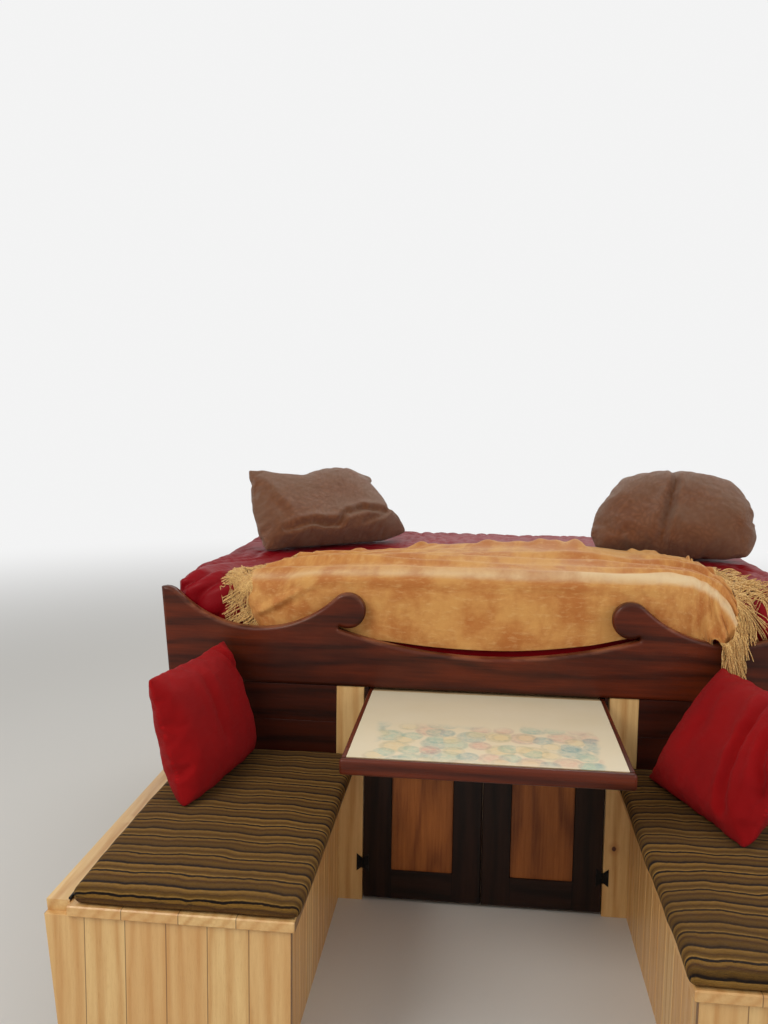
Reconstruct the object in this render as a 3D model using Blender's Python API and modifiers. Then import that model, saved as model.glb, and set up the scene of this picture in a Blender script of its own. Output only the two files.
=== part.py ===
# Built-in bed and dinette unit for the rear end of a small living wagon.
# A raised bed with a scrolled front board stands on an under-bed cupboard with
# two doors, a pull-out table runs in the slot between them, and two storage
# benches reach forward along the side walls.
# Metres, +Z up, +X to the right of someone who faces the bed, +Y to its rear.

import bpy
import bmesh
from math import atan2, cos, degrees, hypot, pi, radians, sin, sqrt
from mathutils import Euler, Matrix, Vector

# Driving sizes of the room that the unit is built into
ROOM_HALF_WIDTH = 0.975
WALL_LEAN_SHARE = 0.094
WALL_CLEARANCE = 0.003

# Fits between the pieces
SEAT_GAP = 0.0003
RUN_GAP = 0.0005
CUT_OVERRUN = 0.01
SOFT_EDGE = 0.0015

# Bed sizes
BED_DEPTH = 1.40
BOARD_THICKNESS = 0.038
BOARD_BOTTOM = 0.727
BOARD_ROUND = 0.012
FRAME_SETBACK = 0.008

# Scrolled outline of the front board, each part set out from the one outside it
CENTRE_LOW = 0.840
NOTCH_Z = 0.9135
NOTCH_UNDERCUT = 0.024
KNOB_RADIUS = 0.058
DIP_TO_KNOB = 0.299
DIP_LOW = 0.912
DIP_RADIUS = 0.370
CREST_TO_DIP = 0.302
CREST_INSET = 0.0137
CREST_RADIUS = 0.055

# Pull-out table
TABLE_TOP = 0.720
TABLE_HALF_WIDTH = 0.373
TABLE_REACH = 0.590
TABLE_TAIL = 0.500
TABLE_TRAVEL = 0.550
TABLE_CORE = 0.024
TABLE_SKIN = 0.002
SKIN_END_GAP = 0.002
EDGING_DEPTH = 0.044
EDGING_THICKNESS = 0.022
SIDE_EDGING_THICKNESS = 0.012
EDGING_ROUND = 0.006
RUNNER_LIP = 0.016
RUNNER_SPARE = 0.130
TABLE_SIDE_CLEARANCE = 0.017
NOSING_LAP = 0.004
TABLE_SLOT_CLEARANCE = 0.006

# Front frame under the board
POST_WIDTH = 0.090
POST_THICKNESS = 0.027
PLANK_THICKNESS = 0.020
PLANK_JOINT = 0.606
SEAT_BACK_LINE = 0.450
TOP_RAIL_HEIGHT = 0.024

# Deck, its bearers and the cupboard
DECK_BOTTOM = 0.745
DECK_THICKNESS = 0.018
BEARER = 0.045
SIDE_PANEL_THICKNESS = 0.018
CUPBOARD_FLOOR_UNDERSIDE = 0.020
CUPBOARD_FLOOR_THICKNESS = 0.015

# Doors
DOOR_GAP = 0.003
DOOR_THICKNESS = 0.022
DOOR_BOTTOM = 0.012
STILE_WIDTH = 0.093
DOOR_TOP_RAIL = 0.090
DOOR_BOTTOM_RAIL = 0.097
DOOR_EDGE = 0.0025
PANEL_THICKNESS = 0.006
PANEL_TONGUE = 0.008

# Butterfly hinges
HINGE_LINE_GAP = 0.0015
HINGE_WING = 0.020
HINGE_TALL = 0.060
HINGE_WAIST = 0.034
HINGE_PLATE = 0.0015
KNUCKLE_RADIUS = 0.003
HINGE_INSET = 0.120
OUTER_KNUCKLE_SHARES = ((-1 / 2, -1 / 6), (1 / 6, 1 / 2))
MIDDLE_KNUCKLE_SHARES = ((-1 / 6, 1 / 6),)

# Benches, their reach forward of the board by side
BENCH_REACH = {"left": 0.930, "right": 1.060}
BENCH_LAP = 0.010
LID_TOP = 0.470
LID_THICKNESS = 0.026
LID_OVERHANG = 0.050
LID_EDGE = 0.003
BENCH_PANEL = 0.018
END_PANEL_SETBACK = 0.010
END_PANEL_INSET = 0.008
MATCHBOARD_WIDTH = 0.095
MATCHBOARD_VEE = 0.003
HINGE_RAIL_WIDTH = 0.061
HINGE_RAIL_DEPTH = 0.070
HINGE_RAIL_LEDGE = 0.028
LID_HINGE_RADIUS = 0.004
LID_EDGE_GAP = 0.002
BENCH_CLEARANCE = 0.006

# Upholstery and bedding
CUSHION_OVERHANG = 0.018
SEAT_CUSHION_THICKNESS = 0.046
SEAT_CUSHION_ROUND = 0.016
MATTRESS_THICKNESS = 0.240
MATTRESS_SIDE_GAP = 0.022
MATTRESS_FRONT_GAP = 0.045
MATTRESS_REAR_GAP = 0.006
MATTRESS_ROUND = 0.030
COVERLET_THICKNESS = 0.060
COVERLET_DROP_THICKNESS = 0.022
COVERLET_DROP_BOTTOM = 0.790
THROW_THICKNESS = 0.014
THROW_LEFT_GAP = 0.192
THROW_RIGHT_GAP = 0.282
THROW_DROP_BOTTOM = 0.868
# How far the throw's rear corners are turned back, along X and along Y
THROW_CORNER = {"left": (0.730, 0.620), "right": (0.570, 0.290)}
PILLOW_ZONE = 0.610

# Loose pillows and cushions, and how much of the lower edge is pressed flat
PILLOW = {
    "left": {"width": 0.665, "height": 0.375, "thickness": 0.225, "sink": 0.018,
             "corner_share": 0.17, "slump_share": 0.28},
    "right": {"width": 0.645, "height": 0.375, "thickness": 0.250, "sink": 0.018,
              "corner_share": 0.36, "slump_share": 0.12}}
SQUARE_CUSHION = {"width": 0.485, "height": 0.425, "thickness": 0.145, "sink": 0.014,
                  "corner_share": 0.12, "slump_share": 0.10}
PILLOW_WALL_GAP = {"left": 0.094, "right": 0.018}
PILLOW_REAR_GAP = {"left": 0.228, "right": 0.418}
CUSHION_WALL_GAP = {"left": 0.035, "right": 0.199}
PILLOW_TURNS = {"left": (56, 0, 39), "right": (58, 0, -10)}
CUSHION_TURNS = {"left": (74, 0, 82), "right": (64, 0, -75)}
PILLOW_RIM_SHARE = 0.16
PILLOW_SWELL_SHARE = 0.42
PILLOW_CUTS = 5

# Position of the board's front face, which centres the whole unit on the origin
FRONT_Y = (max(BENCH_REACH.values()) - BED_DEPTH) / 2

# Heights, widths and depths that follow from the sizes above
FRAME_Y = FRONT_Y + FRAME_SETBACK
BOARD_BACK_Y = FRONT_Y + BOARD_THICKNESS
REAR_Y = FRONT_Y + BED_DEPTH
POST_INNER = TABLE_HALF_WIDTH + TABLE_SIDE_CLEARANCE
POST_OUTER = POST_INNER + POST_WIDTH
TABLE_BOTTOM = TABLE_TOP - EDGING_DEPTH
TOP_RAIL_TOP = TABLE_BOTTOM - TABLE_SLOT_CLEARANCE
TOP_RAIL_BOTTOM = TOP_RAIL_TOP - TOP_RAIL_HEIGHT
DOOR_TOP = TOP_RAIL_BOTTOM - DOOR_GAP
SIDE_PANEL_TOP = DECK_BOTTOM - BEARER - SEAT_GAP
DECK_TOP = DECK_BOTTOM + DECK_THICKNESS
MATTRESS_BOTTOM = DECK_TOP + SEAT_GAP
MATTRESS_TOP = MATTRESS_BOTTOM + MATTRESS_THICKNESS
COVERLET_TOP = MATTRESS_TOP + SEAT_GAP + COVERLET_THICKNESS
THROW_TOP = COVERLET_TOP + SEAT_GAP + THROW_THICKNESS
BENCH_FACE = POST_OUTER - BENCH_LAP
LID_INNER = BENCH_FACE - LID_OVERHANG
SEAT_TOP = LID_TOP + SEAT_GAP + SEAT_CUSHION_THICKNESS
HINGE_X = POST_INNER - HINGE_LINE_GAP
HINGE_Y = FRAME_Y - SEAT_GAP - KNUCKLE_RADIUS
LEAF_Y = FRAME_Y - SEAT_GAP - HINGE_PLATE
SIDES = {"left": -1, "right": 1}


def wall_x(height):
    """Distance from the centre line to the leaning side wall at a height."""
    return ROOM_HALF_WIDTH + WALL_LEAN_SHARE * height


CREST_X = wall_x(DIP_LOW) - CREST_INSET
DIP_X = CREST_X - CREST_TO_DIP
KNOB_X = DIP_X - DIP_TO_KNOB
NOTCH_X = KNOB_X + NOTCH_UNDERCUT
LID_HINGE_X = wall_x(LID_TOP) - HINGE_RAIL_WIDTH
LID_HINGE_Z = LID_TOP + SEAT_GAP + LID_HINGE_RADIUS


# Scene and collections
for item in list(bpy.data.objects):
    bpy.data.objects.remove(item, do_unlink=True)

PARTS = bpy.data.collections.new("bed_and_dinette_unit")
CUTTERS = bpy.data.collections.new("cutters")
for group in (PARTS, CUTTERS):
    bpy.context.scene.collection.children.link(group)


# Materials
def linear(channel):
    """One sRGB channel of 0 to 255 as a linear value."""
    value = channel / 255
    return value / 12.92 if value <= 0.04045 else ((value + 0.055) / 1.055) ** 2.4


def finish(name, colour, roughness, metallic=0.0):
    """A Principled material from an sRGB colour."""
    material = bpy.data.materials.new(name)
    material.use_nodes = True
    shader = material.node_tree.nodes["Principled BSDF"]
    shader.inputs["Base Color"].default_value = (*[linear(part) for part in colour], 1)
    shader.inputs["Roughness"].default_value = roughness
    shader.inputs["Metallic"].default_value = metallic
    return material


WALNUT = finish("walnut_stain", (84, 38, 24), 0.32)
EBONY = finish("ebony_stain", (34, 20, 15), 0.42)
PINE = finish("clear_pine", (220, 178, 112), 0.45)
PANEL_WOOD = finish("door_panel_wood", (150, 88, 44), 0.45)
PLYWOOD = finish("plywood", (205, 172, 122), 0.60)
CHERRY = finish("cherry_edging", (116, 50, 36), 0.30)
TABLE_CREAM = finish("table_surface", (236, 227, 206), 0.35)
BLACK_IRON = finish("black_iron", (26, 25, 25), 0.45, 0.8)
TICKING = finish("mattress_ticking", (226, 220, 208), 0.85)
RED_SATIN = finish("red_satin", (146, 14, 28), 0.35)
GOLD_VELVET = finish("gold_velvet", (206, 152, 84), 0.60)
BRONZE_WEAVE = finish("bronze_weave", (120, 82, 56), 0.70)
STRIPED_WEAVE = finish("striped_weave", (120, 94, 56), 0.80)
RED_COTTON = finish("red_cotton", (160, 20, 24), 0.70)


# Shapes
def keep(item, name, material, smooth=False):
    """Names an object, gives it its material and files it with the parts."""
    item.name = name
    item.data.name = name
    item.data.materials.clear()
    item.data.materials.append(material)
    for group in list(item.users_collection):
        group.objects.unlink(item)
    PARTS.objects.link(item)
    if smooth:
        item.data.shade_smooth()
    return item


def round_edges(item, width, segments=2):
    """Rounds the square edges of a piece."""
    modifier = item.modifiers.new("round", "BEVEL")
    modifier.width = width
    modifier.segments = segments
    modifier.limit_method = "ANGLE"
    return item


def box_object(low, high):
    """An axis-aligned box between two corners, its scale applied."""
    low, high = Vector(low), Vector(high)
    bpy.ops.mesh.primitive_cube_add(size=1, location=(low + high) / 2)
    item = bpy.context.object
    item.data.transform(Matrix.Diagonal((*(high - low), 1)))
    return item


def block(name, low, high, material, edge=SOFT_EDGE, segments=1):
    """A square-sawn piece with slightly rounded edges."""
    return round_edges(keep(box_object(low, high), name, material), edge, segments)


def mirrored(side, inner, outer):
    """Low and high X of a span that is given outwards from the centre line."""
    return sorted((SIDES[side] * inner, SIDES[side] * outer))


def side_block(name, side, inner, outer, y_span, z_span, material, **options):
    """A block on one side of the centre line."""
    low_x, high_x = mirrored(side, inner, outer)
    low = (low_x, y_span[0], z_span[0])
    high = (high_x, y_span[1], z_span[1])
    return block(name, low, high, material, **options)


def flat_curve(outline, thickness, edge_round=0.0, round_steps=1):
    """A filled flat outline, extruded both ways from its own plane."""
    curve = bpy.data.curves.new("outline", "CURVE")
    curve.dimensions = "2D"
    curve.fill_mode = "BOTH"
    curve.extrude = thickness / 2 - edge_round
    curve.bevel_depth = edge_round
    curve.offset = -edge_round
    curve.bevel_resolution = round_steps
    spline = curve.splines.new("POLY")
    spline.points.add(len(outline) - 1)
    for point, (first, second) in zip(spline.points, outline):
        point.co = (first, second, 0, 1)
    spline.use_cyclic_u = True
    item = bpy.data.objects.new("outline", curve)
    bpy.context.scene.collection.objects.link(item)
    return item


def upright_plate(name, outline, y_front, thickness, material, edge_round=0.0, steps=1):
    """A plate that stands in the XZ plane, its front face at y_front."""
    item = flat_curve(outline, thickness, edge_round, steps)
    item.rotation_euler = (pi / 2, 0, 0)
    item.location = (0, y_front + thickness / 2, 0)
    return keep(item, name, material)


def as_mesh(item):
    """The same piece as a welded mesh, in place of its curve."""
    mesh = bpy.data.meshes.new_from_object(
        item.evaluated_get(bpy.context.evaluated_depsgraph_get()))
    body = bmesh.new()
    body.from_mesh(mesh)
    bmesh.ops.remove_doubles(body, verts=body.verts, dist=SEAT_GAP / 3)
    body.to_mesh(mesh)
    body.free()
    name, material = item.name, item.data.materials[0]
    solid = bpy.data.objects.new(name, mesh)
    solid.matrix_world = item.matrix_world
    bpy.data.objects.remove(item, do_unlink=True)
    return keep(solid, name, material)


def wall_edged_outline(side, inner, bottom, top):
    """Four corners of a board whose outer edge follows the leaning wall."""
    sign = SIDES[side]
    return [(sign * inner, bottom),
            (sign * (wall_x(bottom) - WALL_CLEARANCE), bottom),
            (sign * (wall_x(top) - WALL_CLEARANCE), top),
            (sign * inner, top)]


def arc(centre, radius, start, end, steps):
    """Points along an arc, in degrees, both ends included."""
    points = []
    for index in range(steps + 1):
        angle = radians(start + (end - start) * index / steps)
        points.append((centre[0] + radius * cos(angle), centre[1] + radius * sin(angle)))
    return points


def pivot(name, place):
    """An empty on a joint's axis."""
    empty = bpy.data.objects.new(name, None)
    empty.location = place
    PARTS.objects.link(empty)
    return empty


def hang(item, empty):
    """Parents a piece to an empty and leaves it where it is."""
    item.parent = empty
    item.matrix_parent_inverse = Matrix.Translation(empty.location).inverted()
    return item


# Front board, one thick plank sawn to a scroll with a round knob on each side.
# Its outline runs from the centre line out to the right end and is mirrored.
def half_board_outline():
    """Right half of the top outline, from the centre line outwards."""
    rise = NOTCH_Z - CENTRE_LOW
    centre_radius = (NOTCH_X ** 2 + rise ** 2) / (2 * rise)
    sweep = degrees(atan2(NOTCH_X, centre_radius - rise))
    points = arc((0, CENTRE_LOW + centre_radius), centre_radius, -90, -90 + sweep, 9)

    dip = (DIP_X, DIP_LOW + DIP_RADIUS)
    knob_drop = sqrt((DIP_RADIUS + KNOB_RADIUS) ** 2 - (DIP_X - KNOB_X) ** 2)
    knob = (KNOB_X, dip[1] - knob_drop)
    crest_drop = sqrt((DIP_RADIUS + CREST_RADIUS) ** 2 - (CREST_X - DIP_X) ** 2)
    crest = (CREST_X, dip[1] - crest_drop)

    under_angle = degrees(atan2(-sqrt(KNOB_RADIUS ** 2 - (NOTCH_X - KNOB_X) ** 2), NOTCH_X - KNOB_X))
    under = (knob[0] + KNOB_RADIUS * cos(radians(under_angle)),
             knob[1] + KNOB_RADIUS * sin(radians(under_angle)))
    notch = ((points[-1][0] + under[0]) / 2, (points[-1][1] + under[1]) / 2)
    notch_radius = hypot(under[0] - points[-1][0], under[1] - points[-1][1]) / 2
    points += arc(notch, notch_radius, -90 + sweep, 90 + sweep, 4)[1:-1]

    dip_to_knob = degrees(atan2(knob[1] - dip[1], knob[0] - dip[0]))
    dip_to_crest = degrees(atan2(crest[1] - dip[1], crest[0] - dip[0]))
    points += arc(knob, KNOB_RADIUS, under_angle, dip_to_knob - 180, 16)
    points += arc(dip, DIP_RADIUS, dip_to_knob, dip_to_crest, 12)[1:]
    points += arc(crest, CREST_RADIUS, dip_to_crest + 180, 90 - degrees(atan2(
        wall_x(crest[1]) - crest[0], CREST_RADIUS)), 5)[1:]
    return points


def front_board():
    half = half_board_outline()
    end = (wall_x(BOARD_BOTTOM) - WALL_CLEARANCE, BOARD_BOTTOM)
    right = half + [end]
    left = [(-x, z) for x, z in reversed(right[1:])]
    upright_plate("front_board", left + right, FRONT_Y, BOARD_THICKNESS, WALNUT, BOARD_ROUND, 2)


front_board()


# Front frame: a post beside each door, planks out to the walls above the seats,
# bench backs below the seat line, and the rail under the table slot
def front_frame(side):
    side_block(f"post_{side}", side, POST_INNER, POST_OUTER,
               (FRAME_Y, FRAME_Y + POST_THICKNESS), (0, BOARD_BOTTOM - SEAT_GAP), PINE)
    inner = POST_OUTER + SEAT_GAP
    rows = (("bench_back", 0, SEAT_BACK_LINE - SEAT_GAP, PINE),
            ("plank_lower", SEAT_BACK_LINE, PLANK_JOINT - SEAT_GAP, WALNUT),
            ("plank_upper", PLANK_JOINT, BOARD_BOTTOM - SEAT_GAP, WALNUT))
    for name, bottom, top, material in rows:
        upright_plate(f"{name}_{side}", wall_edged_outline(side, inner, bottom, top),
                      FRAME_Y, PLANK_THICKNESS, material, SOFT_EDGE)


for side in SIDES:
    front_frame(side)

block("rail_over_doors",
      (-POST_INNER + SEAT_GAP, FRAME_Y, TOP_RAIL_BOTTOM),
      (POST_INNER - SEAT_GAP, FRAME_Y + POST_THICKNESS, TOP_RAIL_TOP), PINE)


# Cupboard carcass, deck bearers and deck
def carcass(side):
    inner = POST_INNER
    behind_post = FRAME_Y + POST_THICKNESS + SEAT_GAP
    side_block(f"cupboard_side_{side}", side, inner, inner + SIDE_PANEL_THICKNESS,
               (behind_post, REAR_Y), (0, SIDE_PANEL_TOP), PLYWOOD)
    rail_front = REAR_Y - BEARER - SEAT_GAP
    start = BOARD_BACK_Y + SEAT_GAP
    bearer_z = (DECK_BOTTOM - BEARER, DECK_BOTTOM - SEAT_GAP)
    side_block(f"bearer_{side}", side, inner, inner + BEARER, (start, rail_front), bearer_z, PINE)
    outer = wall_x(DECK_BOTTOM - BEARER) - WALL_CLEARANCE
    side_block(f"wall_bearer_{side}", side, outer - BEARER, outer,
               (start, rail_front), bearer_z, PINE)


for side in SIDES:
    carcass(side)

rail_end = wall_x(DECK_BOTTOM - BEARER) - WALL_CLEARANCE
block("rear_rail", (-rail_end, REAR_Y - BEARER, DECK_BOTTOM - BEARER),
      (rail_end, REAR_Y, DECK_BOTTOM - SEAT_GAP), PINE)

block("cupboard_floor",
      (-POST_INNER + SEAT_GAP, FRAME_Y + POST_THICKNESS + SEAT_GAP, CUPBOARD_FLOOR_UNDERSIDE),
      (POST_INNER - SEAT_GAP, REAR_Y, CUPBOARD_FLOOR_UNDERSIDE + CUPBOARD_FLOOR_THICKNESS),
      PLYWOOD)

deck_end = wall_x(DECK_BOTTOM) - WALL_CLEARANCE
block("deck", (-deck_end, BOARD_BACK_Y + SEAT_GAP, DECK_BOTTOM),
      (deck_end, REAR_Y, DECK_TOP), PLYWOOD)


# Doors, each a grooved frame with a flat panel held in the groove. They hang
# on butterfly hinges and close between the posts.
def apply_tool(item, tool, operation):
    """Files a shape with the cutters and cuts or joins it with a piece."""
    tool.name = f"{item.name}_tool"
    for group in list(tool.users_collection):
        group.objects.unlink(tool)
    CUTTERS.objects.link(tool)
    tool.hide_render = True
    tool.display_type = "WIRE"
    modifier = item.modifiers.new(operation.lower(), "BOOLEAN")
    modifier.operation = operation
    modifier.solver = "EXACT"
    modifier.object = tool
    return tool


def door(side):
    empty = pivot(f"door_axis_{side}", (SIDES[side] * HINGE_X, HINGE_Y, 0))
    y_front, y_back = FRAME_Y, FRAME_Y + DOOR_THICKNESS
    low_x, high_x = mirrored(side, DOOR_GAP / 2, POST_INNER - DOOR_GAP)
    frame = keep(box_object((low_x, y_front, DOOR_BOTTOM), (high_x, y_back, DOOR_TOP)),
                 f"door_frame_{side}", EBONY)
    window_low = Vector((low_x + STILE_WIDTH, (y_front + y_back) / 2,
                         DOOR_BOTTOM + DOOR_BOTTOM_RAIL))
    window_high = Vector((high_x - STILE_WIDTH, (y_front + y_back) / 2,
                          DOOR_TOP - DOOR_TOP_RAIL))

    def window_box(margin, half_thickness):
        """A box round the window, larger than it by a margin on each side."""
        reach = Vector((margin, half_thickness, margin))
        return box_object(window_low - reach, window_high + reach)

    through = apply_tool(frame, window_box(0, DOOR_THICKNESS / 2 + CUT_OVERRUN), "DIFFERENCE")
    round_edges(frame, DOOR_EDGE, 1)
    groove = apply_tool(frame, window_box(PANEL_TONGUE + SEAT_GAP,
                                          PANEL_THICKNESS / 2 + SEAT_GAP), "DIFFERENCE")
    panel = keep(window_box(PANEL_TONGUE, PANEL_THICKNESS / 2), f"door_panel_{side}", PANEL_WOOD)
    for item in (frame, panel, through, groove):
        hang(item, empty)
    for level, height in (("lower", DOOR_BOTTOM + HINGE_INSET), ("upper", DOOR_TOP - HINGE_INSET)):
        hinge_leaf(f"hinge_post_{level}_{side}", SIDES[side], SIDES[side], height,
                   OUTER_KNUCKLE_SHARES)
        for item in hinge_leaf(f"hinge_door_{level}_{side}", SIDES[side], -SIDES[side], height,
                               MIDDLE_KNUCKLE_SHARES):
            hang(item, empty)


def hinge_leaf(name, sign, outward, height, knuckle_shares):
    """A flared wing on the face of the wood with its own knuckles. The shares
    say which parts of the waist's height its knuckles take."""
    axis_x = sign * HINGE_X
    near = axis_x + outward * (KNUCKLE_RADIUS + SEAT_GAP)
    far = axis_x + outward * HINGE_WING
    outline = [(near, height - HINGE_WAIST / 2), (far, height - HINGE_TALL / 2),
               (far, height + HINGE_TALL / 2), (near, height + HINGE_WAIST / 2)]
    leaf = as_mesh(upright_plate(name, outline, LEAF_Y, HINGE_PLATE, BLACK_IRON))
    pieces = [leaf]
    for low_share, high_share in knuckle_shares:
        low = height + low_share * HINGE_WAIST + SEAT_GAP / 2
        high = height + high_share * HINGE_WAIST - SEAT_GAP / 2
        web_end = near + outward * KNUCKLE_RADIUS
        web = box_object((min(axis_x, web_end), LEAF_Y, low),
                         (max(axis_x, web_end), LEAF_Y + HINGE_PLATE, high))
        bpy.ops.mesh.primitive_cylinder_add(vertices=12, radius=KNUCKLE_RADIUS, depth=high - low,
                                            location=(axis_x, HINGE_Y, (low + high) / 2))
        barrel = bpy.context.object
        pieces += [apply_tool(leaf, web, "UNION"), apply_tool(leaf, barrel, "UNION")]
    return pieces


for side in SIDES:
    door(side)


# Pull-out table: a core board with a cream surface and hardwood edging. Its
# edges run in the grooves of two runners under the deck.
table_axis = pivot("table_axis", (0, FRONT_Y, TABLE_TOP))


def table():
    front = FRONT_Y - TABLE_REACH
    tail = FRONT_Y + TABLE_TAIL
    core_half = TABLE_HALF_WIDTH - SIDE_EDGING_THICKNESS - SEAT_GAP
    core_front = front + EDGING_THICKNESS + SEAT_GAP
    skin_bottom = TABLE_TOP - TABLE_SKIN
    pieces = [
        block("table_core", (-core_half, core_front, skin_bottom - SEAT_GAP - TABLE_CORE),
              (core_half, tail, skin_bottom - SEAT_GAP), PLYWOOD),
        block("table_surface", (-core_half, core_front, skin_bottom),
              (core_half, FRONT_Y - SKIN_END_GAP, TABLE_TOP), TABLE_CREAM, edge=TABLE_SKIN / 4),
        block("table_edge_front", (-TABLE_HALF_WIDTH - NOSING_LAP, front, TABLE_BOTTOM),
              (TABLE_HALF_WIDTH + NOSING_LAP, front + EDGING_THICKNESS, TABLE_TOP), CHERRY,
              edge=EDGING_ROUND, segments=3)]
    for side in SIDES:
        pieces.append(side_block(
            f"table_edge_{side}", side, core_half + SEAT_GAP, TABLE_HALF_WIDTH,
            (front + EDGING_THICKNESS + SEAT_GAP, tail), (TABLE_BOTTOM, TABLE_TOP), CHERRY))
    for piece in pieces:
        hang(piece, table_axis)


def runner(side):
    """A grooved hardwood runner, fixed inside the cupboard side and bearer."""
    sign = SIDES[side]
    back = POST_INNER - SEAT_GAP
    web = TABLE_HALF_WIDTH + TABLE_SIDE_CLEARANCE / 3
    lip = TABLE_HALF_WIDTH - RUNNER_LIP
    groove_low = TABLE_BOTTOM - RUN_GAP
    groove_high = TABLE_TOP + RUN_GAP
    low = groove_low - RUNNER_LIP
    high = groove_high + RUNNER_LIP
    outline = [(back, low), (back, high), (lip, high), (lip, groove_high),
               (web, groove_high), (web, groove_low), (lip, groove_low), (lip, low)]
    start = BOARD_BACK_Y + SEAT_GAP
    end = FRONT_Y + TABLE_TAIL + TABLE_TRAVEL + RUNNER_SPARE
    upright_plate(f"runner_{side}", [(sign * x, z) for x, z in outline],
                  start, end - start, CHERRY)


table()
for side in SIDES:
    runner(side)


# Storage benches: an aisle panel of vertical matchboard and an end panel carry
# a hinged lid, and a rebated rail along the wall carries the lid's hinge
def matchboard_outline(face, back, y_start, y_end):
    """Plan of a boarded panel, with a V-joint between each two boards."""
    boards = max(1, round((y_end - y_start) / MATCHBOARD_WIDTH))
    inward = MATCHBOARD_VEE if back > face else -MATCHBOARD_VEE
    outline = [(face, y_start)]
    for index in range(1, boards):
        joint = y_start + (y_end - y_start) * index / boards
        outline += [(face, joint - MATCHBOARD_VEE), (face + inward, joint),
                    (face, joint + MATCHBOARD_VEE)]
    return outline + [(face, y_end), (back, y_end), (back, y_start)]


def bench(side):
    sign = SIDES[side]
    y_far = FRAME_Y - SEAT_GAP
    panel_top = LID_TOP - LID_THICKNESS - SEAT_GAP
    end_front = FRONT_Y - BENCH_REACH[side] + END_PANEL_INSET
    upright_plate(f"end_panel_{side}",
                  wall_edged_outline(side, LID_INNER + END_PANEL_SETBACK, 0, panel_top),
                  end_front, BENCH_PANEL, PINE, SOFT_EDGE)
    inside_y = end_front + BENCH_PANEL + SEAT_GAP
    boards = flat_curve(matchboard_outline(sign * BENCH_FACE, sign * (BENCH_FACE + BENCH_PANEL),
                                           inside_y, y_far), panel_top)
    boards.location = (0, 0, panel_top / 2)
    keep(boards, f"aisle_panel_{side}", PINE)

    ledge_inner = LID_HINGE_X - HINGE_RAIL_LEDGE
    rail_low = panel_top - HINGE_RAIL_DEPTH
    rise = LID_HINGE_X + LID_EDGE_GAP / 2
    outer_low = wall_x(rail_low) - WALL_CLEARANCE
    outer_high = wall_x(LID_TOP) - WALL_CLEARANCE
    profile = [(ledge_inner, rail_low), (outer_low, rail_low), (outer_high, LID_TOP),
               (rise, LID_TOP), (rise, panel_top), (ledge_inner, panel_top)]
    upright_plate(f"hinge_rail_{side}", [(sign * x, z) for x, z in profile],
                  inside_y, y_far - inside_y, PINE)

    bpy.ops.mesh.primitive_cylinder_add(
        vertices=12, radius=LID_HINGE_RADIUS, depth=y_far - inside_y, rotation=(pi / 2, 0, 0),
        location=(sign * LID_HINGE_X, (inside_y + y_far) / 2, LID_HINGE_Z))
    keep(bpy.context.object, f"lid_hinge_{side}", BLACK_IRON)


def lid(side):
    """The lid with its seat cushion, and the empty that both turn on."""
    empty = pivot(f"lid_axis_{side}", (SIDES[side] * LID_HINGE_X, FRONT_Y, LID_HINGE_Z))
    y_span = (FRONT_Y - BENCH_REACH[side], FRONT_Y - BENCH_CLEARANCE)
    board = side_block(f"lid_{side}", side, LID_INNER, LID_HINGE_X - LID_EDGE_GAP, y_span,
                       (LID_TOP - LID_THICKNESS, LID_TOP), PINE, edge=LID_EDGE)
    cushion = side_block(f"seat_cushion_{side}", side, LID_INNER - CUSHION_OVERHANG,
                         LID_HINGE_X - LID_HINGE_RADIUS - LID_EDGE_GAP, y_span,
                         (LID_TOP + SEAT_GAP, SEAT_TOP), STRIPED_WEAVE,
                         edge=SEAT_CUSHION_ROUND, segments=3)
    for item in (board, cushion):
        hang(item, empty)
    return empty


lid_axes = {}
for side in SIDES:
    bench(side)
    lid_axes[side] = lid(side)


# Mattress and bedding
mattress_half = wall_x(DECK_TOP) - WALL_CLEARANCE - MATTRESS_SIDE_GAP
mattress_front = BOARD_BACK_Y + MATTRESS_FRONT_GAP
mattress_rear = REAR_Y - MATTRESS_REAR_GAP
block("mattress", (-mattress_half, mattress_front, MATTRESS_BOTTOM),
      (mattress_half, mattress_rear, MATTRESS_TOP), TICKING, edge=MATTRESS_ROUND, segments=3)


def draped_slab(name, x_span, y_back, top, thickness, drop, corner, material):
    """A cloth layer that lies flat and turns down at the front: an angle
    section along X. A round corner is as thick as the cloth where that fits."""
    back = drop["front"] + drop["thickness"]
    outline = [(drop["front"], drop["bottom"]), (back, drop["bottom"])]
    inner = corner - max(thickness, drop["thickness"])
    if inner > 0:
        outline += arc((drop["front"] + corner, top - corner), inner, 180, 90, 5)
    else:
        outline.append((back, top - thickness))
    outline += [(y_back, top - thickness), (y_back, top)]
    outline += arc((drop["front"] + corner, top - corner), corner, 90, 180, 5)
    item = flat_curve(outline, x_span[1] - x_span[0])
    item.rotation_euler = Euler((pi / 2, 0, pi / 2))
    item.location = ((x_span[0] + x_span[1]) / 2, 0, 0)
    return keep(item, name, material)


def cut_corner(item, corner, along, forward):
    """Cuts off an upright corner of a piece, along X and Y from that corner."""
    item.data.transform(item.matrix_world)
    item.matrix_world = Matrix.Identity(4)
    body = bmesh.new()
    body.from_mesh(item.data)
    bmesh.ops.bisect_plane(body, geom=[*body.verts, *body.edges, *body.faces],
                           plane_co=corner + Vector((along, 0, 0)),
                           plane_no=Vector((forward, along, 0)) * (1 if along > 0 else -1),
                           clear_outer=True)
    bmesh.ops.holes_fill(body, edges=[edge for edge in body.edges if edge.is_boundary])
    bmesh.ops.recalc_face_normals(body, faces=body.faces)
    body.to_mesh(item.data)
    body.free()


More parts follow.
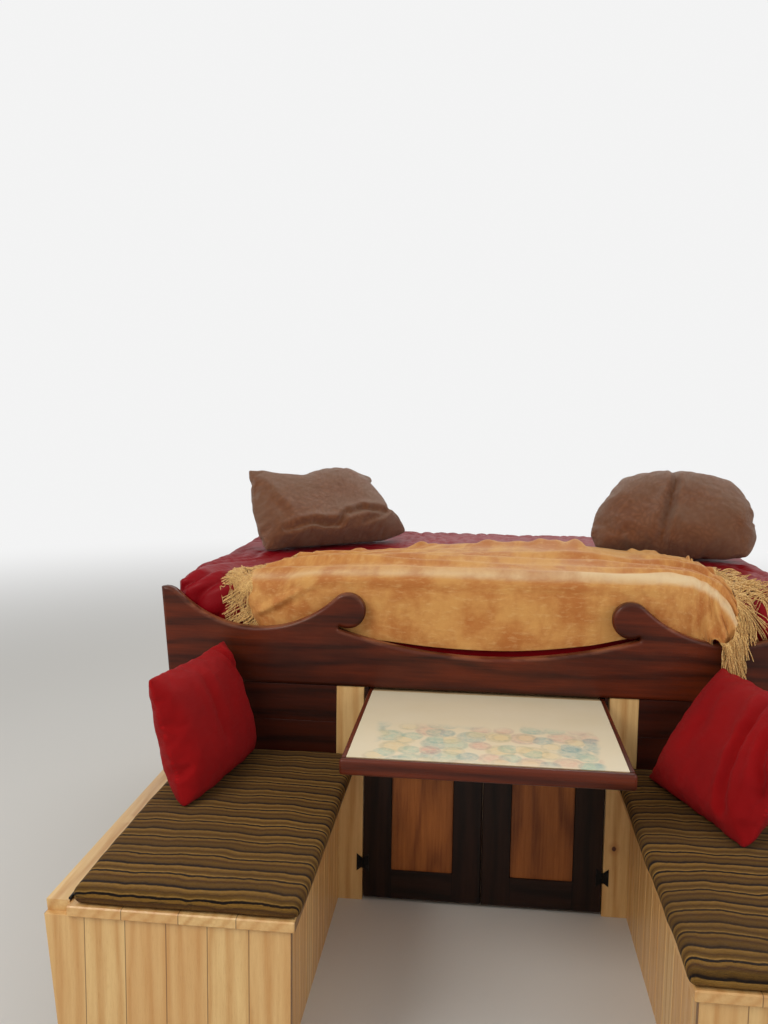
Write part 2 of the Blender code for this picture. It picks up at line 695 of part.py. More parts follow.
coverlet_corner = COVERLET_DROP_THICKNESS * 2
coverlet_drop = {"front": mattress_front - SEAT_GAP - COVERLET_DROP_THICKNESS,
                 "thickness": COVERLET_DROP_THICKNESS, "bottom": COVERLET_DROP_BOTTOM}
throw_drop = {"front": coverlet_drop["front"] - SEAT_GAP - THROW_THICKNESS,
              "thickness": THROW_THICKNESS, "bottom": THROW_DROP_BOTTOM}
draped_slab("coverlet", (-mattress_half, mattress_half), mattress_rear, COVERLET_TOP,
            COVERLET_THICKNESS, coverlet_drop, coverlet_corner, RED_SATIN)
throw_ends = (THROW_LEFT_GAP - mattress_half, mattress_half - THROW_RIGHT_GAP)
throw_back = REAR_Y - PILLOW_ZONE
throw = draped_slab("throw", throw_ends, throw_back, THROW_TOP, THROW_THICKNESS, throw_drop,
                    coverlet_corner + SEAT_GAP + THROW_THICKNESS, GOLD_VELVET)
throw = as_mesh(throw)
for end, inward, (along, forward) in zip(throw_ends, (1, -1), THROW_CORNER.values()):
    cut_corner(throw, Vector((end, throw_back, 0)), inward * along, -forward)


# Pillows and cushions: a sewn cover that bulges between round corners, thicker
# towards its lower edge, and pressed flat where it rests
def pillow(name, shape, side, place, material):
    """A stuffed cover. The place gives its outermost x, its rearmost y, its
    lowest z and its turns."""
    form = bmesh.new()
    bmesh.ops.create_cube(form, size=2)
    bmesh.ops.subdivide_edges(form, edges=form.edges, cuts=PILLOW_CUTS, use_grid_fill=True)
    turned = Euler([radians(angle) for angle in place["turns"]]).to_matrix()
    for vertex in form.verts:
        u, v, w = vertex.co
        swell = max(0, (1 - u * u) * (1 - v * v)) ** PILLOW_SWELL_SHARE
        thick = PILLOW_RIM_SHARE + (1 - PILLOW_RIM_SHARE) * swell
        thick *= 1 - shape["slump_share"] * v
        vertex.co = turned @ Vector((
            u * sqrt(1 - shape["corner_share"] * v * v) * shape["width"] / 2,
            v * sqrt(1 - shape["corner_share"] * u * u) * shape["height"] / 2,
            w * thick * shape["thickness"] / 2))
    outer = max(SIDES[side] * vertex.co.x for vertex in form.verts)
    rear = max(vertex.co.y for vertex in form.verts)
    low = min(vertex.co.z for vertex in form.verts) + shape["sink"]
    for vertex in form.verts:
        vertex.co.z = max(vertex.co.z, low)
    mesh = bpy.data.meshes.new(name)
    form.to_mesh(mesh)
    form.free()
    item = bpy.data.objects.new(name, mesh)
    item.location = (SIDES[side] * (place["outer_x"] - outer), place["rear_y"] - rear,
                     place["low_z"] - low)
    return keep(item, name, material, smooth=True)


for side in SIDES:
    on_bed = {"outer_x": wall_x(COVERLET_TOP) - PILLOW_WALL_GAP[side],
              "rear_y": REAR_Y - PILLOW_REAR_GAP[side],
              "low_z": COVERLET_TOP + SEAT_GAP, "turns": PILLOW_TURNS[side]}
    pillow(f"pillow_{side}", PILLOW[side], side, on_bed, BRONZE_WEAVE)
    on_seat = {"outer_x": wall_x(SEAT_TOP) - CUSHION_WALL_GAP[side],
               "rear_y": FRONT_Y - BENCH_CLEARANCE,
               "low_z": SEAT_TOP + SEAT_GAP, "turns": CUSHION_TURNS[side]}
    cushion = pillow(f"red_cushion_{side}", SQUARE_CUSHION, side, on_seat, RED_COTTON)
    hang(cushion, lid_axes[side])
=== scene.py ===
from math import atan2, copysign, cos, exp, hypot, pi, radians, sin, sqrt
from random import Random

import bmesh
import bpy
from mathutils import Matrix, Vector, noise


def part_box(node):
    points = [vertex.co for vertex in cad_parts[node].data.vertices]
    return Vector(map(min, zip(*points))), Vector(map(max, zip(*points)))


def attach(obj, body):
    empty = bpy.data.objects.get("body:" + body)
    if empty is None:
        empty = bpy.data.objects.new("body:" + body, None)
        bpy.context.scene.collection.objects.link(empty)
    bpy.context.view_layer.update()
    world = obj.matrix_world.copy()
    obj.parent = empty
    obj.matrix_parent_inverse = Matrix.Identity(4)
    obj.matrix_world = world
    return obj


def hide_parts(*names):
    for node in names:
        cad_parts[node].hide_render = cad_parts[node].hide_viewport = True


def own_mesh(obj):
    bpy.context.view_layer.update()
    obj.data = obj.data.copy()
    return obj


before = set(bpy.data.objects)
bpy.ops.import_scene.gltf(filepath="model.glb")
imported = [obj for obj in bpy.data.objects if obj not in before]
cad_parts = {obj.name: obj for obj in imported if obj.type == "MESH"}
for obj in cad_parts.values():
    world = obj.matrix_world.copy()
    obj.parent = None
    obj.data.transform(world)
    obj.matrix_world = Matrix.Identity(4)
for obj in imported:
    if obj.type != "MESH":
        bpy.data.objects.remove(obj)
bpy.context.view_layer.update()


# The camera, the pale floor and the soft studio light. The camera stands 1.6 m
# above the floor in front of the unit, and is turned a little to the left.
CAMERA_PLACE = (-0.029, -2.9635, 1.6046)
CAMERA_YAW = 0.1079
CAMERA_PITCH = 0.1082
CAMERA_ROLL = 0.0128
LENS_MM = 31.51
FLOOR_RADIUS = 30.0
FLOOR_FADE_START = 3.0
FLOOR_FADE_END = 9.0
BACKDROP_TONE = (0.90, 0.90, 0.90, 1)
FLOOR_TONE = (0.72, 0.72, 0.7056, 1)
SKY_TONE = (1.0, 0.98, 0.95, 1)
SKY_STRENGTH = 0.50


def node(tree, kind, inputs=None, **settings):
    """Adds a shader node. An input is a plain value, or a socket to link from."""
    made = tree.nodes.new(f"ShaderNode{kind}")
    for name, value in settings.items():
        setattr(made, name, value)
    for key, value in (inputs or {}).items():
        if isinstance(value, bpy.types.NodeSocket):
            tree.links.new(value, made.inputs[key])
        else:
            made.inputs[key].default_value = value
    return made


def calc(tree, operation, *values, **settings):
    """The result of a Math node on one to three values or sockets."""
    return node(tree, "Math", dict(enumerate(values)), operation=operation, **settings).outputs[0]


def vector_calc(tree, operation, *values):
    """The result of a Vector Math node on one to three vectors or sockets."""
    made = node(tree, "VectorMath", dict(enumerate(values)), operation=operation)
    return made.outputs["Value" if operation == "LENGTH" else "Vector"]


def new_material(name):
    """An empty material and its tree."""
    material = bpy.data.materials.new(name)
    material.use_nodes = True
    material.node_tree.nodes.clear()
    return material, material.node_tree


def link(name, data):
    """An object with its data, in the scene."""
    made = bpy.data.objects.new(name, data)
    bpy.context.scene.collection.objects.link(made)
    return made


def see_backdrop(tree, lit, plain):
    """Mixes a lit closure with the plain one that camera and mirror rays see."""
    path = node(tree, "LightPath").outputs
    seen = calc(tree, "MAXIMUM", path["Is Camera Ray"], path["Is Glossy Ray"])
    seen = calc(tree, "MAXIMUM", seen, path["Is Transmission Ray"])
    return node(tree, "MixShader", {0: seen, 1: lit, 2: plain}).outputs[0]


camera_data = bpy.data.cameras.new("camera")
camera_data.lens = LENS_MM
camera = link("camera", camera_data)
camera.matrix_world = (Matrix.Translation(CAMERA_PLACE)
                       @ Matrix.Rotation(CAMERA_YAW, 4, "Z")
                       @ Matrix.Rotation(pi / 2 - CAMERA_PITCH, 4, "X")
                       @ Matrix.Rotation(CAMERA_ROLL, 4, "Z"))
bpy.context.scene.camera = camera
bpy.context.scene.view_settings.view_transform = "Standard"

world = bpy.data.worlds.new("studio")
bpy.context.scene.world = world
world.use_nodes = True
sky = world.node_tree
sky.nodes.clear()
lit_sky = node(sky, "Background", {"Color": SKY_TONE, "Strength": SKY_STRENGTH})
plain_sky = node(sky, "Background", {"Color": BACKDROP_TONE})
node(sky, "OutputWorld", {0: see_backdrop(sky, lit_sky.outputs[0], plain_sky.outputs[0])})


def pale_floor():
    """A matt floor that fades into the backdrop's tone far from the unit."""
    material, tree = new_material("pale_floor")
    place = node(tree, "TexCoord").outputs["Object"]
    far = vector_calc(tree, "LENGTH", place)
    fade = node(tree, "MapRange", {"Value": far, "From Min": FLOOR_FADE_START,
                                   "From Max": FLOOR_FADE_END},
                interpolation_type="SMOOTHSTEP").outputs[0]
    matt = node(tree, "BsdfDiffuse", {"Color": FLOOR_TONE}).outputs[0]
    plain = node(tree, "Emission", {"Color": BACKDROP_TONE}).outputs[0]
    faded = node(tree, "MixShader", {0: fade, 1: matt, 2: see_backdrop(tree, matt, plain)})
    node(tree, "OutputMaterial", {0: faded.outputs[0]})
    return material


form = bmesh.new()
bmesh.ops.create_circle(form, cap_ends=True, radius=FLOOR_RADIUS, segments=64)
floor_mesh = bpy.data.meshes.new("floor")
form.to_mesh(floor_mesh)
form.free()
floor_mesh.materials.append(pale_floor())
floor = link("floor", floor_mesh)

LIGHT_AIM = Vector((0, 0, 0.6))
# Name, place, size across, power in watts and warmth of each soft box
for name, place, across, power, warmth in (
        ("key_light", (-2.6, -3.0, 3.6), 2.2, 84.0, (1.0, 0.95, 0.88)),
        ("fill_light", (3.2, -2.2, 2.4), 2.6, 36.0, (1.0, 0.96, 0.92)),
        ("rear_light", (0.6, 3.4, 3.8), 2.6, 46.0, (1.0, 0.97, 0.93))):
    lamp = bpy.data.lights.new(name, "AREA")
    lamp.shape = "DISK"
    lamp.size = across
    lamp.energy = power
    lamp.color = warmth
    soft_box = link(name, lamp)
    soft_box.location = place
    aim = LIGHT_AIM - soft_box.location
    soft_box.rotation_euler = aim.to_track_quat("-Z", "Y").to_euler()


# The front board: one thick plank sawn to a scroll, with a round knob beside
# each dip, rounded along the edge, stained dark red-brown and varnished. It
# stands on the posts and is screwed to the deck behind it.
def srgb(red, green, blue):
    """A colour read from 0 to 255 as linear values with full alpha."""
    levels = [part / 255 for part in (red, green, blue)]
    return (*[level / 12.92 if level <= 0.04045 else ((level + 0.055) / 1.055) ** 2.4
              for level in levels], 1)


def shader_group(name, inputs, outputs):
    """A shader node group with named sockets, and what it is given."""
    group = bpy.data.node_groups.new(name, "ShaderNodeTree")
    for way, sockets in (("INPUT", inputs), ("OUTPUT", outputs)):
        for label, kind in sockets.items():
            group.interface.new_socket(label, in_out=way, socket_type=f"NodeSocket{kind}")
    return group, group.nodes.new("NodeGroupInput").outputs


def finish_group(group, values):
    """Links values to a group's outputs by name."""
    result = group.nodes.new("NodeGroupOutput")
    for label, value in values.items():
        group.links.new(value, result.inputs[label])
    return group


def scaled(tree, vector, scale):
    """A vector stretched by three factors."""
    return vector_calc(tree, "MULTIPLY", vector, scale)


def wave(tree, value, rate):
    """A sine along a value, as of threads that lie side by side."""
    return calc(tree, "SINE", calc(tree, "MULTIPLY", value, rate))


def noise_of(tree, vector, scale=1.0, detail=3.0, roughness=0.5):
    """The value of a noise texture at a vector."""
    return node(tree, "TexNoise", {"Vector": vector, "Scale": scale, "Detail": detail,
                                   "Roughness": roughness}).outputs["Fac"]


def fibres(tree, vector, scale, detail=3.0, roughness=0.5):
    """The value of a noise texture that is scaled along each axis on its own."""
    return noise_of(tree, scaled(tree, vector, scale), 1.0, detail, roughness)


def axes(tree, vector):
    """A vector's parts, by axis."""
    return node(tree, "SeparateXYZ", {0: vector}).outputs


def mixed(tree, share, first, second):
    """Two colours mixed by a share."""
    return node(tree, "Mix", {0: share, 6: first, 7: second}, data_type="RGBA").outputs[2]


def between(tree, value, low, high, to_low=0.0, to_high=1.0):
    """A value eased from one range to another."""
    return node(tree, "MapRange", {"Value": value, "From Min": low, "From Max": high,
                                   "To Min": to_low, "To Max": to_high},
                interpolation_type="SMOOTHSTEP").outputs[0]


def timber_group():
    """Sawn wood whose grain runs along X: rings that wander and bend round the
    knots, pale and dark streaks, and open pores. Sizes are in metres."""
    group, given = shader_group(
        "timber",
        {"Vector": "Vector", "Pale": "Color", "Dark": "Color", "Rings": "Float",
         "Figure": "Float", "Knots": "Float", "Knot Radius": "Float"},
        {"Colour": "Color", "Height": "Float", "Shine": "Float"})
    vector = given["Vector"]
    cell = (1.9, 5.6, 5.6)
    stretched = scaled(group, vector, cell)
    knots = node(group, "TexVoronoi", {"Vector": stretched, "Scale": 1.0, "Randomness": 1.0})
    offset = vector_calc(group, "SUBTRACT", stretched, knots.outputs["Position"])
    offset = scaled(group, offset, [1 / part for part in cell])
    wobble = noise_of(group, vector, 60.0, 2.0)
    far = vector_calc(group, "LENGTH", offset)
    far = calc(group, "MULTIPLY_ADD", wobble, 0.006, calc(group, "SUBTRACT", far, 0.003))
    chance = node(group, "SeparateColor", {0: knots.outputs["Color"]}).outputs[0]
    present = calc(group, "LESS_THAN", chance, given["Knots"])
    reach = calc(group, "DIVIDE", far, given["Knot Radius"])
    core = calc(group, "MULTIPLY", present, between(group, reach, 1.25, 0.75))
    halo = calc(group, "MULTIPLY", present, between(group, reach, 5.0, 0.8))

    wander = fibres(group, vector, (1.3, 6.0, 6.0), 2.5)
    drift = fibres(group, vector, (0.6, 1.7, 1.7), 1.0)
    parts = axes(group, vector)
    across = calc(group, "MULTIPLY_ADD", parts["Z"], 0.83, parts["Y"])
    phase = calc(group, "MULTIPLY", across, given["Rings"])
    phase = calc(group, "MULTIPLY_ADD", wander, given["Figure"], phase)
    phase = calc(group, "MULTIPLY_ADD", drift, 9.0, phase)
    phase = calc(group, "MULTIPLY_ADD", halo, 7.0, phase)
    ring = calc(group, "MULTIPLY_ADD", calc(group, "SINE", phase), 0.5, 0.5)
    ring = calc(group, "POWER", ring, 2.2)
    streak = fibres(group, vector, (5.0, 95.0, 95.0), 4.0, 0.6)
    pore = fibres(group, vector, (45.0, 900.0, 900.0), 2.0)
    pore = between(group, pore, 0.56, 0.72)

    tone = calc(group, "MULTIPLY_ADD", streak, 1.1, calc(group, "MULTIPLY_ADD", ring, 0.5, -0.32))
    tone = calc(group, "ADD", tone, calc(group, "MULTIPLY", pore, 0.18), use_clamp=True)
    colour = mixed(group, tone, given["Pale"], given["Dark"])
    knot_tone = mixed(group, 0.72, given["Dark"], (0.02, 0.008, 0.004, 1))
    colour = mixed(group, calc(group, "MULTIPLY", halo, 0.35), colour, given["Dark"])
    colour = mixed(group, core, colour, knot_tone)
    height = calc(group, "MULTIPLY_ADD", pore, -0.5, calc(group, "MULTIPLY", streak, 0.4))
    height = calc(group, "MULTIPLY_ADD", ring, 0.25, height)
    return finish_group(group, {"Colour": colour, "Height": height, "Shine": streak})


TIMBER = timber_group()
# The last of these also lays boards side by side along X
GRAIN_TURNS = {"x": (0, 0, 0), "y": (0, 0, -pi / 2), "z": (0, pi / 2, 0),
               "z by x": (pi / 2, 0, pi / 2)}


def object_place(tree, turn=(0, 0, 0), shift=(0, 0, 0)):
    """Object coordinates, turned where the grain has to run along X."""
    place = node(tree, "TexCoord").outputs["Object"]
    return node(tree, "Mapping", {"Vector": place, "Rotation": turn, "Location": shift},
                vector_type="POINT").outputs[0]


def finished(material, inputs):
    """A material, once it has its shader."""
    shader = node(material.node_tree, "BsdfPrincipled", inputs)
    node(material.node_tree, "OutputMaterial", {0: shader.outputs[0]})
    return material


def bump(tree, height, distance):
    """A normal from a height, given how far a height of 1 stands out."""
    return node(tree, "Bump", {"Height": height, "Distance": distance}).outputs[0]


def wood(name, grain, pale, dark, rings, figure, knots, knot_radius=0.009, roughness=(0.3, 0.45),
         varnish=0.3, relief=0.0004, shift=(0, 0, 0), vector_change=None, colour_change=None,
         gloss=0.5):
    """A wood finish for a piece whose grain runs along one axis."""
    material, tree = new_material(name)
    vector = object_place(tree, GRAIN_TURNS[grain], shift)
    if vector_change:
        vector = vector_change(tree, vector)
    grown = node(tree, "Group", {"Vector": vector, "Pale": pale, "Dark": dark, "Rings": rings,
                                 "Figure": figure, "Knots": knots, "Knot Radius": knot_radius},
                 node_tree=TIMBER).outputs
    colour = grown["Colour"]
    if colour_change:
        colour = colour_change(tree, colour, vector)
    return finished(material, {
        "Base Color": colour,
        "Roughness": between(tree, grown["Shine"], 0.3, 0.7, *roughness),
        "Coat Weight": varnish, "Coat Roughness": 0.18, "Specular IOR Level": gloss,
        "Normal": bump(tree, grown["Height"], relief)})


WALNUT_PALE = srgb(108, 42, 18)
WALNUT_DARK = srgb(36, 13, 6)


def stain_and_pale_edge(tree, colour, vector):
    """Blotchy stain, and a thin pale line along the top of the rounded edge, strongest where the
    edge faces up.
    """
    blotch = fibres(tree, vector, (2.2, 5.0, 5.0))
    colour = mixed(tree, between(tree, blotch, 0.35, 0.66, 0.0, 0.7), colour, srgb(36, 13, 7))
    pale_edge_and_highlight = node(tree, "Attribute", attribute_name="pale_edge_and_highlight").outputs["Fac"]
    patchy = fibres(tree, vector, (9.0, 30.0, 30.0), 4.0)
    pale_line = calc(tree, "MULTIPLY", pale_edge_and_highlight, between(tree, patchy, 0.42, 0.62, 0.1, 0.6))
    return mixed(tree, pale_line, colour, srgb(168, 104, 70))


walnut_along = wood("walnut_stain_along", "x", WALNUT_PALE, WALNUT_DARK, 95.0, 16.0, 0.12,
                    roughness=(0.28, 0.44), varnish=0.12, colour_change=stain_and_pale_edge,
                    gloss=0.16)

BOARD_LOW, BOARD_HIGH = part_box("front_board")
CENTRE_LOW = 0.840
NOTCH = (0.470, 0.9135)
KNOB_X = 0.446
KNOB_RADIUS = 0.058
DIP_X = 0.745
DIP_LOW = 0.912
DIP_RADIUS = 0.370
CREST_X = 1.0471
CREST_RADIUS = 0.055
BOARD_ROUND = 0.012
BOARD_PALE_EDGE_FROM = 0.05
# The board's ends lean outwards
END_BASE = 0.972
END_LEAN = 0.094


def verts_of(items):
    """The vertices among what an operator made."""
    return [item for item in items if isinstance(item, bmesh.types.BMVert)]


def thicken(form, offset):
    """Extrudes a flat form and closes it to a solid."""
    raised = bmesh.ops.extrude_face_region(form, geom=form.faces)
    bmesh.ops.translate(form, verts=verts_of(raised["geom"]), vec=offset)
    bmesh.ops.recalc_face_normals(form, faces=form.faces)


def round_edges(form, edges, offset, segments, **settings):
    """Rounds some edges of a form."""
    return bmesh.ops.bevel(form, geom=edges, offset=offset, segments=segments, profile=0.5,
                           affect="EDGES", material=-1, **settings)


def swing(form, vertex, centre, angle, steps):
    """Carries the outline on from a vertex along an arc in the XZ plane."""
    made = bmesh.ops.spin(form, geom=[vertex], cent=(centre[0], vertex.co.y, centre[1]),
                          axis=(0, -1, 0), angle=angle, steps=steps)
    return verts_of(made["geom_last"])[0]


def direction(centre, point):
    """Angle of a point as seen from a centre, in radians."""
    return atan2(point[1] - centre[1], point[0] - centre[0])


def turned_by(start, end, clockwise):
    """The angle from one direction to another, one way round."""
    turn = (end - start) % (2 * pi)
    return turn - 2 * pi if clockwise else turn


def show(name, form, material, body, slot, replaced=(), smooth=True):
    """Makes a piece of a bmesh: its mesh, finish, body and what it stands for. Its slot is not
    used.
    """
    mesh = bpy.data.meshes.new(name)
    form.to_mesh(mesh)
    form.free()
    mesh.materials.append(material)
    if smooth:
        mesh.shade_smooth()
    piece = link(name, mesh)
    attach(piece, body)
    if replaced:
        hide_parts(*replaced)
    return piece


def scrolled_board():
    """Half of the outline as chained arcs, mirrored, thickened and rounded."""
    form = bmesh.new()
    rise = NOTCH[1] - CENTRE_LOW
    sag = (NOTCH[0] ** 2 + rise ** 2) / (2 * rise)
    centre = (0, CENTRE_LOW + sag)
    dip = (DIP_X, DIP_LOW + DIP_RADIUS)
    knob = (KNOB_X, dip[1] - sqrt((DIP_RADIUS + KNOB_RADIUS) ** 2 - (DIP_X - KNOB_X) ** 2))
    crest = (CREST_X, dip[1] - sqrt((DIP_RADIUS + CREST_RADIUS) ** 2 - (CREST_X - DIP_X) ** 2))
    under = (NOTCH[0], knob[1] - sqrt(KNOB_RADIUS ** 2 - (NOTCH[0] - KNOB_X) ** 2))

    start = form.verts.new((0, BOARD_LOW.y, CENTRE_LOW))
    corner = swing(form, start, centre, direction(centre, NOTCH) + pi / 2, 30)
    notch = ((NOTCH[0] + under[0]) / 2, (NOTCH[1] + under[1]) / 2)
    corner = swing(form, corner, notch, pi, 8)
    turn = turned_by(direction(knob, under), direction(knob, dip), True)
    corner = swing(form, corner, knob, turn, 44)
    turn = turned_by(direction(dip, knob), direction(dip, crest), False)
    corner = swing(form, corner, dip, turn, 40)
    end = END_BASE + END_LEAN * crest[1]
    last = pi / 2 - atan2(end - crest[0], CREST_RADIUS)
    corner = swing(form, corner, crest, turned_by(direction(crest, dip), last, True), 4)
    foot = form.verts.new((END_BASE + END_LEAN * BOARD_LOW.z, BOARD_LOW.y, BOARD_LOW.z))
    middle = form.verts.new((0, BOARD_LOW.y, BOARD_LOW.z))
    for first, second in ((corner, foot), (foot, middle), (middle, start)):
        form.edges.new((first, second))
    face = bmesh.ops.contextual_create(form, geom=form.edges)["faces"][0]
    bmesh.ops.mirror(form, geom=[face, *face.edges, *face.verts], axis="X", merge_dist=1e-5)
    seam = [edge for edge in form.edges if all(abs(vertex.co.x) < 1e-5 for vertex in edge.verts)]
    bmesh.ops.dissolve_edges(form, edges=seam)
    thicken(form, (0, BOARD_HIGH.y - BOARD_LOW.y, 0))
    rims = [edge for edge in form.edges if max(len(face.verts) for face in edge.link_faces) > 8]
    rounded = round_edges(form, rims, BOARD_ROUND, 6, clamp_overlap=False)
    for face in form.faces:
        face.smooth = len(face.verts) <= 8
    # A thin pale line along the top of the rounded edge, strongest where it faces up
    pale_edge_and_highlight = form.verts.layers.float.new("pale_edge_and_highlight")
    for face in rounded["faces"]:
        for vertex in face.verts:
            on_top = vertex.co.z > BOARD_LOW.z + BOARD_PALE_EDGE_FROM
            vertex[pale_edge_and_highlight] = max(0.0, vertex.normal.z) if on_top else 0.0
    return form


board = show("scrolled_board", scrolled_board(), walnut_along, "base", "walnut_stain",
             ["front_board"], smooth=False)


# The planks on both sides of the front frame, above each seat. They are stained as the board is
# and butt against the posts. Their tone is a little darker, partly the stain and partly painted
# shade under the board.
def finish_nodes(names, material):
    """Gives CAD nodes their finish, on both sides where a name has a side."""
    for name in names:
        for full in ([name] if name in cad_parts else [f"{name}_left", f"{name}_right"]):
            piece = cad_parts[full]
            piece.data.materials.clear()
            piece.data.materials.append(material)


walnut_planks_painted_shade = wood("walnut_stain_planks_painted_shade", "x", srgb(70, 27, 14), srgb(28, 11, 6), 95.0, 16.0,
                     0.12, roughness=(0.32, 0.46), varnish=0.1, shift=(0.7, 0.2, 0.4), gloss=0.16)
finish_nodes(["plank_lower", "plank_upper"], walnut_planks_painted_shade)


# The pine: posts, the rail over the doors, bench backs, bearers and rails. It
# is clear-varnished knotty softwood, so each piece shows rings and a few knots.
PINE_PALE = srgb(232, 196, 134)
PINE_DARK = srgb(196, 142, 78)
PINE_RINGS = 150.0
PINE_FIGURE = 14.0
# Where the knot in the right post lies, and how large it is
POST_KNOT = (0.4219, 0.0, 0.2319)
POST_KNOT_RADIUS = 0.0075


def post_knot(tree, colour, vector):
    """One round dark knot with a faint halo of bent rings, on the right post."""
    place = object_place(tree)
    offset = vector_calc(tree, "SUBTRACT", place, POST_KNOT)
    far = vector_calc(tree, "LENGTH", scaled(tree, offset, (1, 0, 0.8)))
    reach = calc(tree, "DIVIDE", far, POST_KNOT_RADIUS)
    reach = calc(tree, "MULTIPLY_ADD", noise_of(tree, place, 160.0, 2.0), 0.5, reach)
    halo = between(tree, reach, 3.6, 1.0, 0.0, 0.5)
    colour = mixed(tree, halo, colour, srgb(176, 112, 58))
    return mixed(tree, between(tree, reach, 1.35, 0.85), colour, srgb(74, 34, 20))


def pine(name, grain, knots=0.5, knot_radius=0.008, roughness=(0.32, 0.5), varnish=0.2,
         **settings):
    """Knotty pine under a clear varnish."""
    return wood(name, grain, PINE_PALE, PINE_DARK, PINE_RINGS, PINE_FIGURE, knots, knot_radius,
                roughness, varnish, **settings)


finish_nodes(["post"], pine("clear_pine_upright", "z", 0.55, 0.007, colour_change=post_knot))
finish_nodes(["rail_over_doors", "bench_back", "rear_rail"],
             pine("clear_pine_across", "x", shift=(0.31, 0.2, 0.1)))
finish_nodes(["bearer", "wall_bearer", "hinge_rail"],
             pine("clear_pine_lengthways", "y", shift=(0.7, 0.4, 0.3)))


# The sheet goods: deck, cupboard sides and floor, and the table's core. They
# are birch-faced plywood, with the plies in view along the cut edges.

# How thick each ply is
PLY_PITCH = 0.0014


def plywood(name, thickness_axis, grain):
    """Plywood whose plies lie across one axis."""
    def plies(tree, colour, vector):
        across = axes(tree, object_place(tree))[thickness_axis]
        facing = axes(tree, node(tree, "NewGeometry").outputs["Normal"])[thickness_axis]
        edge = calc(tree, "LESS_THAN", calc(tree, "ABSOLUTE", facing), 0.7)
        layer = calc(tree, "FRACT", calc(tree, "DIVIDE", across, 2 * PLY_PITCH))
        layer = between(tree, calc(tree, "PINGPONG", layer, 0.5), 0.2, 0.3)
        dark_ply = calc(tree, "MULTIPLY", calc(tree, "MULTIPLY", edge, layer), 0.75)
        return mixed(tree, dark_ply, colour, srgb(128, 88, 54))

    return wood(name, grain, srgb(222, 194, 148), srgb(186, 150, 104), 34.0, 30.0, 0.08,
                knot_radius=0.006, roughness=(0.5, 0.68), varnish=0.0, relief=0.0003,
                shift=(0.2, 0.5, 0.1), colour_change=plies)


finish_nodes(["deck", "cupboard_floor", "table_core"], plywood("plywood_flat", "Z", "x"))
finish_nodes(["cupboard_side"], plywood("plywood_upright", "X", "y"))


# The cupboard doors: near-black stained frames, each round a flat panel of
# orange-brown wood with an upright grain, hung on black butterfly hinges.
STILE_WIDTH = 0.093
door_low, door_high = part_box("door_frame_right")
RAIL_START = door_low.x + STILE_WIDTH
RAIL_END = door_high.x - STILE_WIDTH


def frame_joints(tree, vector):
    """Turns the grain along the rails inside the stiles' inner edges."""
    place = object_place(tree)
    span = calc(tree, "ABSOLUTE", axes(tree, place)["X"])
    inside = calc(tree, "MULTIPLY", calc(tree, "GREATER_THAN", span, RAIL_START),
                  calc(tree, "LESS_THAN", span, RAIL_END))
    return node(tree, "Mix", {0: inside, 4: vector, 5: place}, data_type="VECTOR").outputs[1]


def frame_joint_lines(tree, colour, vector):
    """A dark line at each joint of stile and rail."""
    span = calc(tree, "ABSOLUTE", axes(tree, object_place(tree))["X"])
    gaps = [calc(tree, "ABSOLUTE", calc(tree, "SUBTRACT", span, line))
            for line in (RAIL_START, RAIL_END)]
    line = between(tree, calc(tree, "MINIMUM", *gaps), 0.0012, 0.0004)
    return mixed(tree, line, colour, (0.002, 0.001, 0.001, 1))


ebony_frame = wood("ebony_stain", "z", srgb(42, 23, 15), srgb(14, 8, 6), 120.0, 14.0, 0.1,
                   roughness=(0.34, 0.5), varnish=0.1, vector_change=frame_joints,
                   colour_change=frame_joint_lines, gloss=0.18)
door_panel = wood("door_panel_wood", "z", srgb(168, 102, 50), srgb(104, 54, 25), 70.0, 26.0, 0.12,
                  roughness=(0.36, 0.5), varnish=0.1, shift=(0.4, 0.3, 0.9), gloss=0.25)
finish_nodes(["door_frame"], ebony_frame)
finish_nodes(["door_panel"], door_panel)


def rounded_bar(low, high, offset, segments):
    """A box between two corners with all its edges rounded."""
    form = bmesh.new()
    bmesh.ops.create_cube(form, size=1.0, matrix=Matrix.Translation((low + high) / 2)
                          @ Matrix.Diagonal((*(high - low), 1)))
    round_edges(form, form.edges, offset, segments)
    return form


# A dark strip set into the left door's free edge is painted shade: it keeps the joint between the
# doors dark
STRIP_DEPTH = 0.0022
STRIP_CLEARANCE = 0.0006
STRIP_INSET = Vector((0, 0.005, 0.003))
strip_low = Vector((-door_low.x - STRIP_DEPTH, *door_low.yz)) + STRIP_INSET
strip_high = Vector((door_low.x - STRIP_CLEARANCE, *door_high.yz)) - STRIP_INSET
show("door_gap_painted_shade", rounded_bar(strip_low, strip_high, 0.0005, 2), ebony_frame, "door_left",
     "ebony_stain")


# The ironwork: butterfly hinges on the doors with round-headed screws, and a
# continuous hinge of short knuckles along each bench lid.
def black_iron_finish():
    material, tree = new_material("black_iron")
    place = object_place(tree)
    blotch = noise_of(tree, place, 240.0, 4.0)
    rub = between(tree, noise_of(tree, place, 70.0), 0.55, 0.75)
    colour = mixed(tree, rub, srgb(24, 23, 23), srgb(62, 56, 50))
    return finished(material, {
        "Base Color": colour, "Metallic": 0.75,
        "Roughness": between(tree, blotch, 0.3, 0.7, 0.36, 0.58),
        "Normal": bump(tree, blotch, 0.0002)})


black_iron = black_iron_finish()
finish_nodes(["hinge_door_lower", "hinge_door_upper", "hinge_post_lower", "hinge_post_upper"],
             black_iron)

SCREW_RADIUS = 0.0024
SCREW_RISE = 0.0010
# Height from the leaf's middle as a share of its height
SCREW_SHARES = (-0.26, 0.26)
SCREW_FROM_EDGE = 0.0055
LEAF_RELIEF = 0.0015


